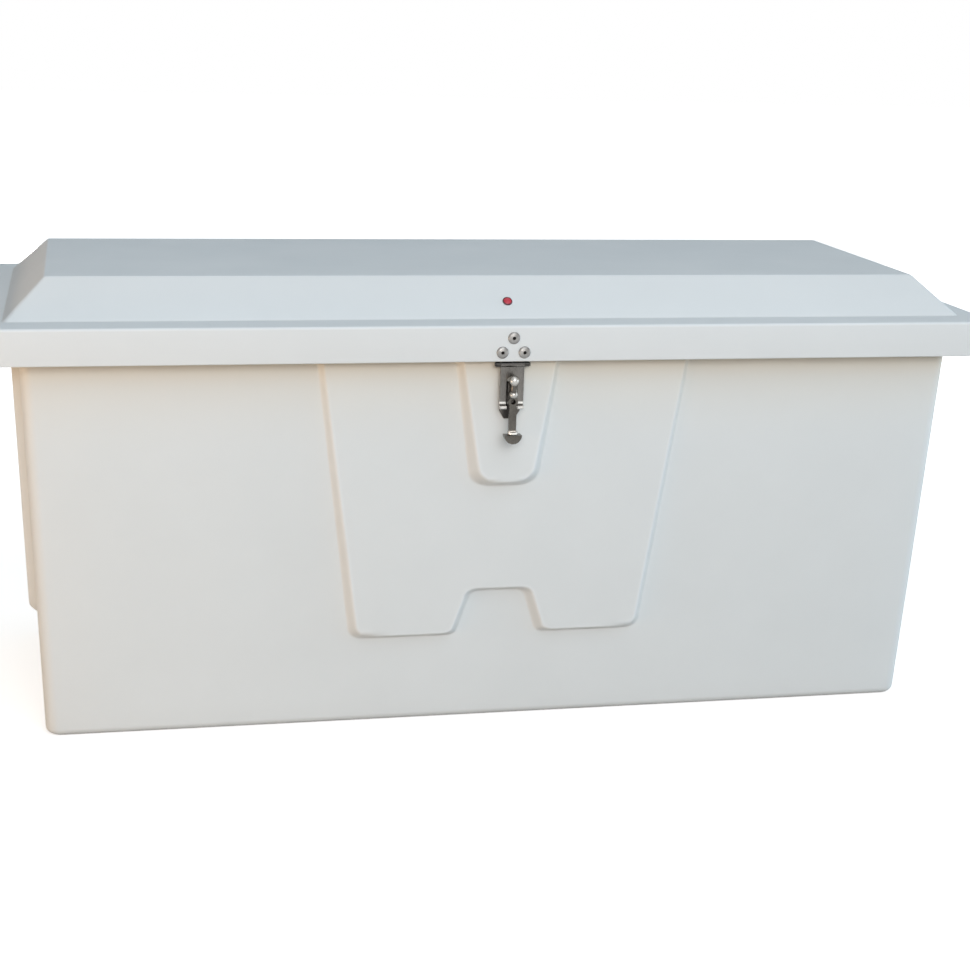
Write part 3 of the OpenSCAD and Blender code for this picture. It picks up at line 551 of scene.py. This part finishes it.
# blind rivets as (radius, height): tail, shank, a head that rises by a sine from its rim, a rolled lip and the hole
def makeRivets(f):
    t = np.linspace(0, 1, f["domeSteps"])
    hole, head, crown, deep = f["hole"], f["head"], f["crown"], -f["grip"]
    tail, long = f["tail"]
    back = [(0.6, deep - long), (tail * 0.75, deep - long), (tail, deep - long * 0.5), (tail, deep - 0.2),
            (f["shank"], deep - 0.05), (f["shank"], 0.0), (head - 0.2, 0.02), (head, 0.2)]
    rise = 0.45 + (crown - 0.75) * np.sin(t * math.pi / 2) ** 0.8
    dome = np.stack([head - (head - hole - 0.7) * t, rise], axis=-1)
    lip = [(hole + 0.45, crown - 0.12), (hole + 0.15, crown), (hole, crown - 0.25)]
    pit = [(hole - 0.05, 1.2), (hole - 0.1, 0.75), (hole * 0.6, 0.62), (0.3, 0.72)]
    profile = np.concatenate([back, dome, lip, pit])
    # dark marks: painted shade in the hole, on its lip and round the head's rim
    dark = np.zeros(len(profile))
    dark[-len(pit):] = 1
    dark[-len(pit) - 1] = f["lipDark"]
    dark[len(back) - 2:len(back) + 1] = f["rimDark"]
    grids = [lathe(profile, (x, f["faceY"], z), f["steps"]) for x, z in f["places"]]
    mark = dark[:, None] * np.ones((1, f["steps"]))
    piece = gridMesh("hasp_rivet_heads", grids, {"pit": [mark] * len(grids)})
    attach(piece, "lid_body")
    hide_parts("hasp_rivets")
    return piece


rivetHeads = makeRivets(haspRivets)
print("rivets made:", len(haspRivets["places"]))

# fittings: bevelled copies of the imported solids, with body and bevel in millimetres
bevelled = {
    "hasp_strap": ("strap_body", 0.35),
    "turn_lever": ("lever_body", 0.6),
    "latch_base": ("tub_body", 0.4),
    "hasp_leaf": ("lid_body", 0.35),
    "hinge_lower_leaf_left": ("tub_body", 0.4),
    "hinge_lower_leaf_centre": ("tub_body", 0.4),
    "hinge_lower_leaf_right": ("tub_body", 0.4),
    "hinge_upper_leaf_left": ("lid_body", 0.4),
    "hinge_upper_leaf_centre": ("lid_body", 0.4),
    "hinge_upper_leaf_right": ("lid_body", 0.4),
}
bevelRules = {
    "merge": 1e-6,                          # metres between corners that become one
    "flat": 1,                              # degrees between faces that are joined
    "sharp": 35,                            # degrees from which shading breaks
    "broken": 40,                           # degrees from which an edge is bevelled
    "segments": 2,
}
slotOf = {row["node"]: row["material_slot"] for row in frame["record"]["subparts"]}


# copy of a node with merged corners and flat faces joined, its sharp edges broken by a small bevel
def bevelCopy(node, body, width, rules):
    mesh = nodes[node].data.copy()
    mesh.name = node + "_bevelled"
    mesh.materials.clear()
    bm = bmesh.new()
    bm.from_mesh(mesh)
    bmesh.ops.remove_doubles(bm, verts=bm.verts, dist=rules["merge"])
    bmesh.ops.dissolve_limit(bm, angle_limit=math.radians(rules["flat"]), verts=bm.verts, edges=bm.edges)
    bm.to_mesh(mesh)
    bm.free()
    piece = bpy.data.objects.new(node + "_bevelled", mesh)
    scene.collection.objects.link(piece)
    mesh.shade_smooth()
    mesh.set_sharp_from_angle(angle=math.radians(rules["sharp"]))
    soft = piece.modifiers.new("broken_edges", "BEVEL")
    soft.width = width * mm
    soft.segments = rules["segments"]
    soft.limit_method = "ANGLE"
    soft.angle_limit = math.radians(rules["broken"])
    soft.harden_normals = True
    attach(piece, body)
    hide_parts(node)
    return piece


fittings = {node: bevelCopy(node, body, width, bevelRules) for node, (body, width) in bevelled.items()}
print("fittings bevelled:", len(fittings))


# empty shader group: inputs as (label, kind, value), outputs as (label, kind)
def newGroup(name, inputs, outputs):
    group = bpy.data.node_groups.new(name, "ShaderNodeTree")
    for label, kind, value in inputs:
        item = group.interface.new_socket(label, in_out="INPUT", socket_type=kind)
        if value is not None:
            item.default_value = value
    for label, kind in outputs:
        group.interface.new_socket(label, in_out="OUTPUT", socket_type=kind)
    return group, group.nodes.new("NodeGroupInput").outputs, group.nodes.new("NodeGroupOutput").inputs


# shader node with its settings; a socket is called by its name, or by i and its number, and takes a value or a link
def node(tree, kind, settings=None, **sockets):
    made = tree.nodes.new(kind)
    for key, value in (settings or {}).items():
        setattr(made, key, value)
    for key, value in sockets.items():
        name = key.replace("_", " ")
        slot = made.inputs[int(name[1:])] if name[0] == "i" and name[1:].isdigit() else made.inputs[name]
        if isinstance(value, bpy.types.NodeSocket):
            tree.links.new(value, slot)
        else:
            slot.default_value = value
    return made


# one sum, product or other step on two numbers
def maths(tree, operation, a, b, clamp=False):
    return node(tree, "ShaderNodeMath", {"operation": operation, "use_clamp": clamp}, i0=a, i1=b).outputs[0]


# straight blend of two numbers
def mixFloat(tree, factor, a, b):
    return node(tree, "ShaderNodeMix", {"data_type": "FLOAT"}, i0=factor, i2=a, i3=b).outputs[0]


# straight blend of two colours
def mixColour(tree, factor, a, b):
    return node(tree, "ShaderNodeMix", {"data_type": "RGBA"}, i0=factor, i6=a, i7=b).outputs[2]


# straight line from one span of values to another
def mapSpan(tree, value, span, low, high):
    return node(tree, "ShaderNodeMapRange", Value=value, From_Min=span[0], From_Max=span[1],
                To_Min=low, To_Max=high).outputs[0]


# fractal noise at a place
def noise(tree, place, scale, detail, **more):
    return node(tree, "ShaderNodeTexNoise", Vector=place, Scale=scale, Detail=detail, **more).outputs[0]


# mark that a mesh carries at its points
def attribute(tree, name):
    return node(tree, "ShaderNodeAttribute", {"attribute_name": name}).outputs["Fac"]


groupLook = {
    "finer": 4.7,                           # the mottle's second noise is finer by this factor
    "finerShare": 0.35,
    "noiseSpan": (0.3, 0.7),                # what noise gives in practice, as low and high
    "dirtSpan": (0.3, 0.75),
    "dirtLeast": 0.35,                      # dirt that stays where the noise is low
    "brushRough": 0.6,
}


# soft mottling: two noises of different size, mapped to a low and a high value
def makeMottle(look):
    group, entry, leave = newGroup(
        "mottle",
        [("Vector", "NodeSocketVector", None), ("Scale", "NodeSocketFloat", 5.0),
         ("Low", "NodeSocketFloat", 0.0), ("High", "NodeSocketFloat", 1.0)],
        [("Value", "NodeSocketFloat")])
    big = noise(group, entry["Vector"], entry["Scale"], 3.0)
    small = noise(group, entry["Vector"], maths(group, "MULTIPLY", entry["Scale"], look["finer"]), 2.0)
    both = mixFloat(group, look["finerShare"], big, small)
    group.links.new(mapSpan(group, both, look["noiseSpan"], entry["Low"], entry["High"]), leave["Value"])
    return group


# settled dirt: a crease mask broken up by noise
def makeDirt(look):
    group, entry, leave = newGroup(
        "settled_dirt",
        [("Vector", "NodeSocketVector", None), ("Mask", "NodeSocketFloat", 0.0),
         ("Scale", "NodeSocketFloat", 20.0), ("Amount", "NodeSocketFloat", 0.5)],
        [("Mask", "NodeSocketFloat")])
    cloud = noise(group, entry["Vector"], entry["Scale"], 4.0)
    part = mapSpan(group, cloud, look["dirtSpan"], look["dirtLeast"], 1.0)
    held = maths(group, "MULTIPLY", entry["Mask"], part)
    group.links.new(maths(group, "MULTIPLY", held, entry["Amount"], clamp=True), leave["Mask"])
    return group


# fine lines of brushing: noise drawn out along one axis by stretching its vector
def makeBrushing(look):
    group, entry, leave = newGroup(
        "brushing",
        [("Vector", "NodeSocketVector", None), ("Stretch", "NodeSocketVector", (1.0, 1.0, 1.0)),
         ("Low", "NodeSocketFloat", 0.2), ("High", "NodeSocketFloat", 0.4)],
        [("Value", "NodeSocketFloat"), ("Lines", "NodeSocketFloat")])
    drawn = node(group, "ShaderNodeVectorMath", {"operation": "MULTIPLY"}, i0=entry["Vector"], i1=entry["Stretch"])
    lines = noise(group, drawn.outputs[0], 1.0, 3.0, Roughness=look["brushRough"])
    group.links.new(mapSpan(group, lines, look["noiseSpan"], entry["Low"], entry["High"]), leave["Value"])
    group.links.new(lines, leave["Lines"])
    return group


# band: 1 between two heights, falling to 0 over a soft edge; it places painted highlights and painted shade
def makeBand():
    group, entry, leave = newGroup(
        "painted_light_band",
        [("Vector", "NodeSocketVector", None), ("Low", "NodeSocketFloat", 0.0),
         ("High", "NodeSocketFloat", 1.0), ("Soft", "NodeSocketFloat", 0.001)],
        [("Mask", "NodeSocketFloat")])
    high = node(group, "ShaderNodeSeparateXYZ", Vector=entry["Vector"]).outputs["Z"]
    above = maths(group, "SUBTRACT", high, entry["Low"])
    below = maths(group, "SUBTRACT", entry["High"], high)
    least = maths(group, "MINIMUM", above, below)
    group.links.new(maths(group, "DIVIDE", least, entry["Soft"], clamp=True), leave["Mask"])
    return group


# spot: 1 within a radius of a point, falling to 0 over a soft edge; it places painted highlights
def makeSpot():
    group, entry, leave = newGroup(
        "painted_glint_spot",
        [("Vector", "NodeSocketVector", None), ("Middle", "NodeSocketVector", (0.0, 0.0, 0.0)),
         ("Radius", "NodeSocketFloat", 0.01), ("Soft", "NodeSocketFloat", 0.001)],
        [("Mask", "NodeSocketFloat")])
    far = node(group, "ShaderNodeVectorMath", {"operation": "DISTANCE"}, i0=entry["Vector"], i1=entry["Middle"])
    inside = maths(group, "SUBTRACT", entry["Radius"], far.outputs["Value"])
    group.links.new(maths(group, "DIVIDE", inside, entry["Soft"], clamp=True), leave["Mask"])
    return group


mottle = makeMottle(groupLook)
dirt = makeDirt(groupLook)
brushing = makeBrushing(groupLook)
heightBand = makeBand()
roundSpot = makeSpot()


# shader group inside a material
def placeGroup(tree, group, **sockets):
    return node(tree, "ShaderNodeGroup", {"node_tree": group}, **sockets).outputs


# material with an empty shader, and the object coordinates that its patterns use
def newMaterial(name):
    mat = bpy.data.materials.new(name)
    mat.use_nodes = True
    tree = mat.node_tree
    tree.nodes.clear()
    shader = tree.nodes.new("ShaderNodeBsdfPrincipled")
    output = tree.nodes.new("ShaderNodeOutputMaterial")
    tree.links.new(shader.outputs[0], output.inputs["Surface"])
    coords = tree.nodes.new("ShaderNodeTexCoord")
    return mat, tree, shader, coords.outputs["Object"]


gelcoats = {
    "tub_white": {
        "colour": (0.78, 0.79, 0.785, 1), "other": (0.75, 0.76, 0.755, 1), "dust": (0.60, 0.53, 0.44, 1),
        "rough": (0.40, 0.54), "specular": 0.25,
        "shadeAndDust": (                         # painted shade bands, partly dust: lower and upper height, soft edge, colour
            (0.36, 0.60, 0.12, (0.785, 0.745, 0.675, 1)),           # painted shade under the skirt's overhang, with some dust
            (0.448, 0.531, 0.04, (0.75, 0.665, 0.545, 1)),          # deeper painted shade close to the rim, with some dust
            (-0.02, 0.0065, 0.006, (0.30, 0.30, 0.305, 1)))},       # painted contact shadow at the foot, with some grime
    "lid_white": {
        "colour": (0.79, 0.795, 0.79, 1), "other": (0.76, 0.765, 0.76, 1), "dust": (0.58, 0.54, 0.47, 1),
        "rough": (0.50, 0.64), "specular": 0.15, "shadeAndDust": ()},
}
gelcoatDetail = {
    "cloud": 3.2,                           # noise scales, per metre
    "gloss": 9.0,
    "wornAndSheen": (0.6, (0.86, 0.87, 0.875, 1)),  # share and colour on ridges: wear and a painted highlight
    "dirt": (26.0, 0.16),                   # scale and amount in creases
    "fade": 2.0,                            # power by which a painted shade band fades
    "fibres": (160.0, 0.25, 0.86),          # scale, width and darkest tone of the mat inside
    "insideRough": 0.62,
    "peel": (420.0, 0.05, 0.0006),          # scale, strength and depth
    "wave": (9.0, 0.08, 0.01),
    "matBump": (0.25, 0.002),               # strength and depth
}


# gelcoat: mottled white with dust in the creases, ridges paler from wear and a painted highlight, painted shade bands
# with some dust and grime, and a fine orange peel; mat fibres inside
def gelcoat(name, look, detail):
    mat, tree, shader, place = newMaterial(name)
    crease, ridge, inside = (attribute(tree, mark) for mark in ("crease", "ridge", "inside"))
    cloud = placeGroup(tree, mottle, Vector=place, Scale=detail["cloud"])[0]
    tone = mixColour(tree, cloud, look["colour"], look["other"])
    # ridges made paler: wear and a painted highlight
    share, pale = detail["wornAndSheen"]
    tone = mixColour(tree, maths(tree, "MULTIPLY", ridge, share), tone, pale)
    scale, amount = detail["dirt"]
    settled = placeGroup(tree, dirt, Vector=place, Mask=crease, Scale=scale, Amount=amount)[0]
    tone = mixColour(tree, settled, tone, look["dust"])
    # bands of painted shade under the skirt and at the foot, partly dust and grime
    for low, high, soft, colour in look["shadeAndDust"]:
        band = placeGroup(tree, heightBand, Vector=place, Low=low, High=high, Soft=soft)[0]
        faded = maths(tree, "POWER", band, detail["fade"])
        tone = mixColour(tree, mixFloat(tree, inside, faded, 0.0), tone, colour)
    scale, width, darkest = detail["fibres"]
    fibres = node(tree, "ShaderNodeTexVoronoi", {"feature": "DISTANCE_TO_EDGE"}, Vector=place, Scale=scale).outputs[0]
    lined = mixFloat(tree, inside, 1.0, mapSpan(tree, fibres, (0.0, width), darkest, 1.0))
    shade = node(tree, "ShaderNodeMix", {"data_type": "RGBA", "blend_type": "MULTIPLY"}, i0=1.0, i6=tone, i7=lined)
    tree.links.new(shade.outputs[2], shader.inputs["Base Color"])
    low, high = look["rough"]
    gloss = placeGroup(tree, mottle, Vector=place, Scale=detail["gloss"], Low=low, High=high)[0]
    tree.links.new(mixFloat(tree, inside, gloss, detail["insideRough"]), shader.inputs["Roughness"])
    scale, strength, depth = detail["peel"]
    fine = node(tree, "ShaderNodeBump", Strength=strength, Distance=depth, Height=noise(tree, place, scale, 2.0))
    scale, strength, depth = detail["wave"]
    wide = node(tree, "ShaderNodeBump", Strength=strength, Distance=depth, Height=noise(tree, place, scale, 1.0),
                Normal=fine.outputs[0])
    strength, depth = detail["matBump"]
    cloth = node(tree, "ShaderNodeBump", Strength=strength, Distance=depth,
                 Height=maths(tree, "MULTIPLY", inside, fibres), Normal=wide.outputs[0])
    tree.links.new(cloth.outputs[0], shader.inputs["Normal"])
    shader.inputs["Specular IOR Level"].default_value = look["specular"]
    return mat


metals = {
    # grain stretches the brushing; bands are (lower height, upper height, colour), spots (middle, radius, colour), and
    # both are painted highlights and painted shade
    # the latch steels are coloured far darker than bare steel, standing in for dark surroundings in their reflections:
    # painted reflection
    "strap_steel": {
        "colour": (0.165, 0.155, 0.145, 1), "dark": (0.10, 0.093, 0.085, 1),
        "rough": (0.2, 0.42), "grain": (900, 900, 60),
        # bright bands: painted highlights on the curled lips; dark band: painted shade on the knuckle under the skirt
        "bands": ((0.4336, 0.4374, (0.58, 0.56, 0.53, 1)), (0.4272, 0.4322, (0.58, 0.56, 0.53, 1)),
                  (0.4832, 0.4935, (0.045, 0.042, 0.04, 1)))},
    "lever_steel": {
        "colour": (0.10, 0.092, 0.082, 1), "dark": (0.055, 0.05, 0.045, 1),
        "rough": (0.14, 0.34), "grain": (900, 900, 60),
        # bright band and spots: painted highlights on the lever and on the domes of its head
        "bands": ((0.3985, 0.4025, (0.62, 0.60, 0.57, 1)),),
        "spots": (((0.0, -0.2758, 0.4656), 0.0068, (0.50, 0.485, 0.46, 1)),
                  ((0.0, -0.2742, 0.4478), 0.0058, (0.50, 0.485, 0.46, 1)))},
    "leaf_steel_shaded": {
        # near black all over: painted shade under the skirt; the lighter band is the barrel's lower, less shaded part
        "colour": (0.05, 0.047, 0.044, 1), "dark": (0.03, 0.028, 0.026, 1),
        "rough": (0.3, 0.5), "grain": (60, 900, 900),
        "bands": ((0.4785, 0.4826, (0.14, 0.13, 0.12, 1)),)},
    "base_steel": {
        # dark so the gap in the strap's slot reads dark: partly painted shade
        "colour": (0.11, 0.10, 0.092, 1), "dark": (0.06, 0.055, 0.05, 1),
        "rough": (0.22, 0.44), "grain": (900, 900, 60)},
    "hinge_steel": {
        "colour": (0.50, 0.495, 0.485, 1), "dark": (0.40, 0.39, 0.38, 1),
        "rough": (0.22, 0.4), "grain": (60, 900, 900)},
    "rivet_alloy": {
        "colour": (0.29, 0.282, 0.27, 1), "dark": (0.178, 0.17, 0.162, 1),
        "rough": (0.26, 0.46), "grain": (500, 500, 500)},
    "rod_chrome": {
        "colour": (0.56, 0.56, 0.575, 1), "dark": (0.42, 0.42, 0.435, 1),
        "rough": (0.07, 0.18), "grain": (300, 900, 900)},
}
metalDetail = {
    "patch": (70.0, 0.9),                   # scale and most of the dull patches
    "bandSoft": 0.0012,                     # metres
    "spotSoft": 0.0008,
    "pit": (0.012, 0.011, 0.01, 1),         # painted shade in holes
    "bump": (0.12, 0.0003),                 # strength and depth of the brushing
}


# bare metal: brushed lines in roughness and bump, dull patches in colour, with painted highlight and shade bands and
# spots, and painted shade in holes
def metal(name, look, detail):
    mat, tree, shader, place = newMaterial(name)
    low, high = look["rough"]
    lines = placeGroup(tree, brushing, Vector=place, Stretch=look["grain"], Low=low, High=high)
    tree.links.new(lines["Value"], shader.inputs["Roughness"])
    scale, most = detail["patch"]
    tone = mixColour(tree, placeGroup(tree, mottle, Vector=place, Scale=scale, High=most)[0],
                     look["colour"], look["dark"])
    # painted highlight and shade bands, then painted highlight spots
    for low, high, colour in look.get("bands", ()):
        held = placeGroup(tree, heightBand, Vector=place, Low=low, High=high, Soft=detail["bandSoft"])[0]
        tone = mixColour(tree, held, tone, colour)
    for middle, radius, colour in look.get("spots", ()):
        held = placeGroup(tree, roundSpot, Vector=place, Middle=middle, Radius=radius, Soft=detail["spotSoft"])[0]
        tone = mixColour(tree, held, tone, colour)
    # painted shade in the rivets' holes and round their rims
    tone = mixColour(tree, attribute(tree, "pit"), tone, detail["pit"])
    tree.links.new(tone, shader.inputs["Base Color"])
    strength, depth = detail["bump"]
    bump = node(tree, "ShaderNodeBump", Strength=strength, Distance=depth, Height=lines["Lines"])
    tree.links.new(bump.outputs[0], shader.inputs["Normal"])
    shader.inputs["Metallic"].default_value = 1.0
    return mat


plastics = {
    "seal_rubber": {
        "colour": (0.022, 0.022, 0.024, 1), "other": (0.045, 0.043, 0.042, 1), "rough": (0.6, 0.8), "grain": 500.0},
    "black_tube": {
        "colour": (0.012, 0.012, 0.013, 1), "other": (0.022, 0.022, 0.023, 1), "rough": (0.22, 0.36), "grain": 300.0},
    "guide_plastic": {
        "colour": (0.02, 0.02, 0.02, 1), "other": (0.035, 0.035, 0.034, 1), "rough": (0.45, 0.6), "grain": 700.0},
    "bonded_block": {
        "colour": (0.66, 0.64, 0.59, 1), "other": (0.56, 0.54, 0.49, 1), "rough": (0.55, 0.75), "grain": 260.0},
    "reflector_rim": {
        "colour": (0.10, 0.008, 0.02, 1), "other": (0.055, 0.006, 0.014, 1), "rough": (0.2, 0.35), "grain": 900.0},
    "red_lens": {
        "colour": (0.62, 0.012, 0.04, 1), "other": (0.42, 0.006, 0.025, 1), "rough": (0.06, 0.14), "grain": 1200.0},
}
plasticDetail = {
    "patch": 0.12,                          # scales as shares of the grain's
    "gloss": 0.3,
    "bump": (0.15, 0.0004),                 # strength and depth of the grain
}


# moulded or painted surface: mottled colour and roughness over a fine grain
def moulded(name, look, detail):
    mat, tree, shader, place = newMaterial(name)
    patch = placeGroup(tree, mottle, Vector=place, Scale=look["grain"] * detail["patch"])[0]
    tree.links.new(mixColour(tree, patch, look["colour"], look["other"]), shader.inputs["Base Color"])
    low, high = look["rough"]
    gloss = placeGroup(tree, mottle, Vector=place, Scale=look["grain"] * detail["gloss"], Low=low, High=high)[0]
    tree.links.new(gloss, shader.inputs["Roughness"])
    strength, depth = detail["bump"]
    bump = node(tree, "ShaderNodeBump", Strength=strength, Distance=depth,
                Height=noise(tree, place, look["grain"], 2.0))
    tree.links.new(bump.outputs[0], shader.inputs["Normal"])
    return mat


finishes = {name: gelcoat(name, look, gelcoatDetail) for name, look in gelcoats.items()}
finishes.update({name: metal(name, look, metalDetail) for name, look in metals.items()})
finishes.update({name: moulded(name, look, plasticDetail) for name, look in plastics.items()})


# a piece takes one material all over
def dress(piece, mat):
    piece.data.materials.clear()
    piece.data.materials.append(mat)


# nodes whose finish doesn't have their slot's name
ownFinish = {
    "tub": "tub_white", "lid": "lid_white", "hasp_strap": "strap_steel", "turn_lever": "lever_steel",
    "latch_base": "base_steel", "hasp_leaf": "leaf_steel_shaded", "hasp_pin": "leaf_steel_shaded",
}
for name, piece in list(nodes.items()) + list(fittings.items()):
    dress(piece, finishes[ownFinish.get(name, slotOf[name])])
dress(rivetHeads, finishes["rivet_alloy"])
dress(tubShell, finishes["tub_white"])
dress(lidShell, finishes["lid_white"])
print("materials placed:", len(finishes))

# floor, world and lamps
stageLook = {
    "floorHalf": 14.0,                      # metres
    "floorColour": (0.72, 0.70, 0.675, 1),
    "floorRough": 0.9,
    "bounceColour": (0.42, 0.39, 0.36, 1),  # what the floor throws back on the box
    "nearGlow": 0.70,                       # beside the box, camera and mirror rays only
    "farGlow": 1.0,                         # from farReach on
    "nearReach": 0.75,                      # metres from the middle
    "farReach": 1.7,
    "ambient": ((0.33, 0.275, 0.21, 1), (0.85, 1.38, 1.80, 1)),   # from the left and from the right
    "ambientSpan": (-0.5, 0.7),             # X of the directions between which the two blend
    "ambientLevel": 0.30,
}
lampPlan = {
    # name: (place, aim, size, watts, colour)
    "front_softbox": ((-0.5, -4.2, 1.8), (0.0, 0.0, 0.3), (2.8, 1.2), 72, (1.0, 0.968, 0.945)),
    "top_panel": ((0.0, -0.1, 3.7), (0.0, 0.0, 0.5), (2.6, 1.6), 7.5, (0.90, 0.95, 1.0)),
    "front_sky": ((0.45, -2.9, 3.0), (0.0, -0.1, 0.35), (3.2, 3.0), 49, (0.865, 0.945, 1.0)),
    "left_fill": ((-1.8, -0.8, 0.08), (-0.5, -0.1, 0.42), (1.4, 0.5), 12.5, (1.0, 0.70, 0.44)),
    "right_fill": ((3.0, -0.5, 0.5), (0.0, 0.0, 0.3), (2.0, 0.8), 22, (0.82, 0.92, 1.0)),
    "rear_fill": ((0.5, 4.2, 0.27), (0.0, 0.0, 0.3), (3.0, 0.5), 112, (1.0, 0.985, 0.96)),
}
white = (1, 1, 1, 1)


# 1 for what the camera or a mirror sees, 0 for light that falls on the box
def seenRays(tree):
    path = node(tree, "ShaderNodeLightPath").outputs
    return maths(tree, "MAXIMUM", path["Is Camera Ray"], path["Is Glossy Ray"])


# floor: one square, whose glow grows by a smooth step with the distance from the box
def makeFloor(look):
    h = look["floorHalf"]
    mesh = bpy.data.meshes.new("studio_floor")
    mesh.from_pydata([(-h, -h, 0), (h, -h, 0), (h, h, 0), (-h, h, 0)], [], [(0, 1, 2, 3)])
    floor = bpy.data.objects.new("studio_floor", mesh)
    scene.collection.objects.link(floor)
    mat, tree, shader, place = newMaterial("studio_floor")
    shader.inputs["Roughness"].default_value = look["floorRough"]
    shader.inputs["Specular IOR Level"].default_value = 0.0
    seen = seenRays(tree)
    tone = mixColour(tree, seen, look["bounceColour"], look["floorColour"])
    tree.links.new(tone, shader.inputs["Base Color"])
    away = node(tree, "ShaderNodeVectorMath", {"operation": "LENGTH"}, i0=place).outputs["Value"]
    ring = node(tree, "ShaderNodeMapRange", {"interpolation_type": "SMOOTHSTEP"}, Value=away,
                From_Min=look["nearReach"], From_Max=look["farReach"], To_Min=look["nearGlow"], To_Max=look["farGlow"])
    tree.links.new(maths(tree, "MULTIPLY", seen, ring.outputs[0]), shader.inputs["Emission Strength"])
    shader.inputs["Emission Color"].default_value = white
    dress(floor, mat)


# world: white where it is seen, and a dim light on the box that blends from left to right
def makeWorld(look):
    world = bpy.data.worlds.new("studio_world")
    scene.world = world
    world.use_nodes = True
    tree = world.node_tree
    tree.nodes.clear()
    seen = seenRays(tree)
    level = mapSpan(tree, seen, (0.0, 1.0), look["ambientLevel"], 1.0)
    way = node(tree, "ShaderNodeSeparateXYZ", Vector=node(tree, "ShaderNodeTexCoord").outputs["Generated"])
    left, right = look["ambientSpan"]
    side = node(tree, "ShaderNodeMapRange", {"interpolation_type": "SMOOTHSTEP"}, Value=way.outputs["X"],
                From_Min=left, From_Max=right)
    tint = mixColour(tree, seen, mixColour(tree, side.outputs[0], *look["ambient"]), white)
    sky = node(tree, "ShaderNodeBackground", Color=tint, Strength=level)
    out = tree.nodes.new("ShaderNodeOutputWorld")
    tree.links.new(sky.outputs[0], out.inputs["Surface"])


# area lamp that faces its aim and isn't seen itself
def makeLamp(name, plan):
    place, aim, size, watts, colour = plan
    data = bpy.data.lights.new(name, "AREA")
    data.shape = "RECTANGLE"
    data.size, data.size_y = size
    data.energy = watts
    data.color = colour
    lamp = bpy.data.objects.new(name, data)
    scene.collection.objects.link(lamp)
    lamp.visible_camera = False
    lamp.location = place
    lamp.rotation_euler = (Vector(aim) - Vector(place)).to_track_quat("-Z", "Y").to_euler()


makeFloor(stageLook)
makeWorld(stageLook)
for name, plan in lampPlan.items():
    makeLamp(name, plan)
scene.view_settings.view_transform = "Standard"
print("stage and lamps set")
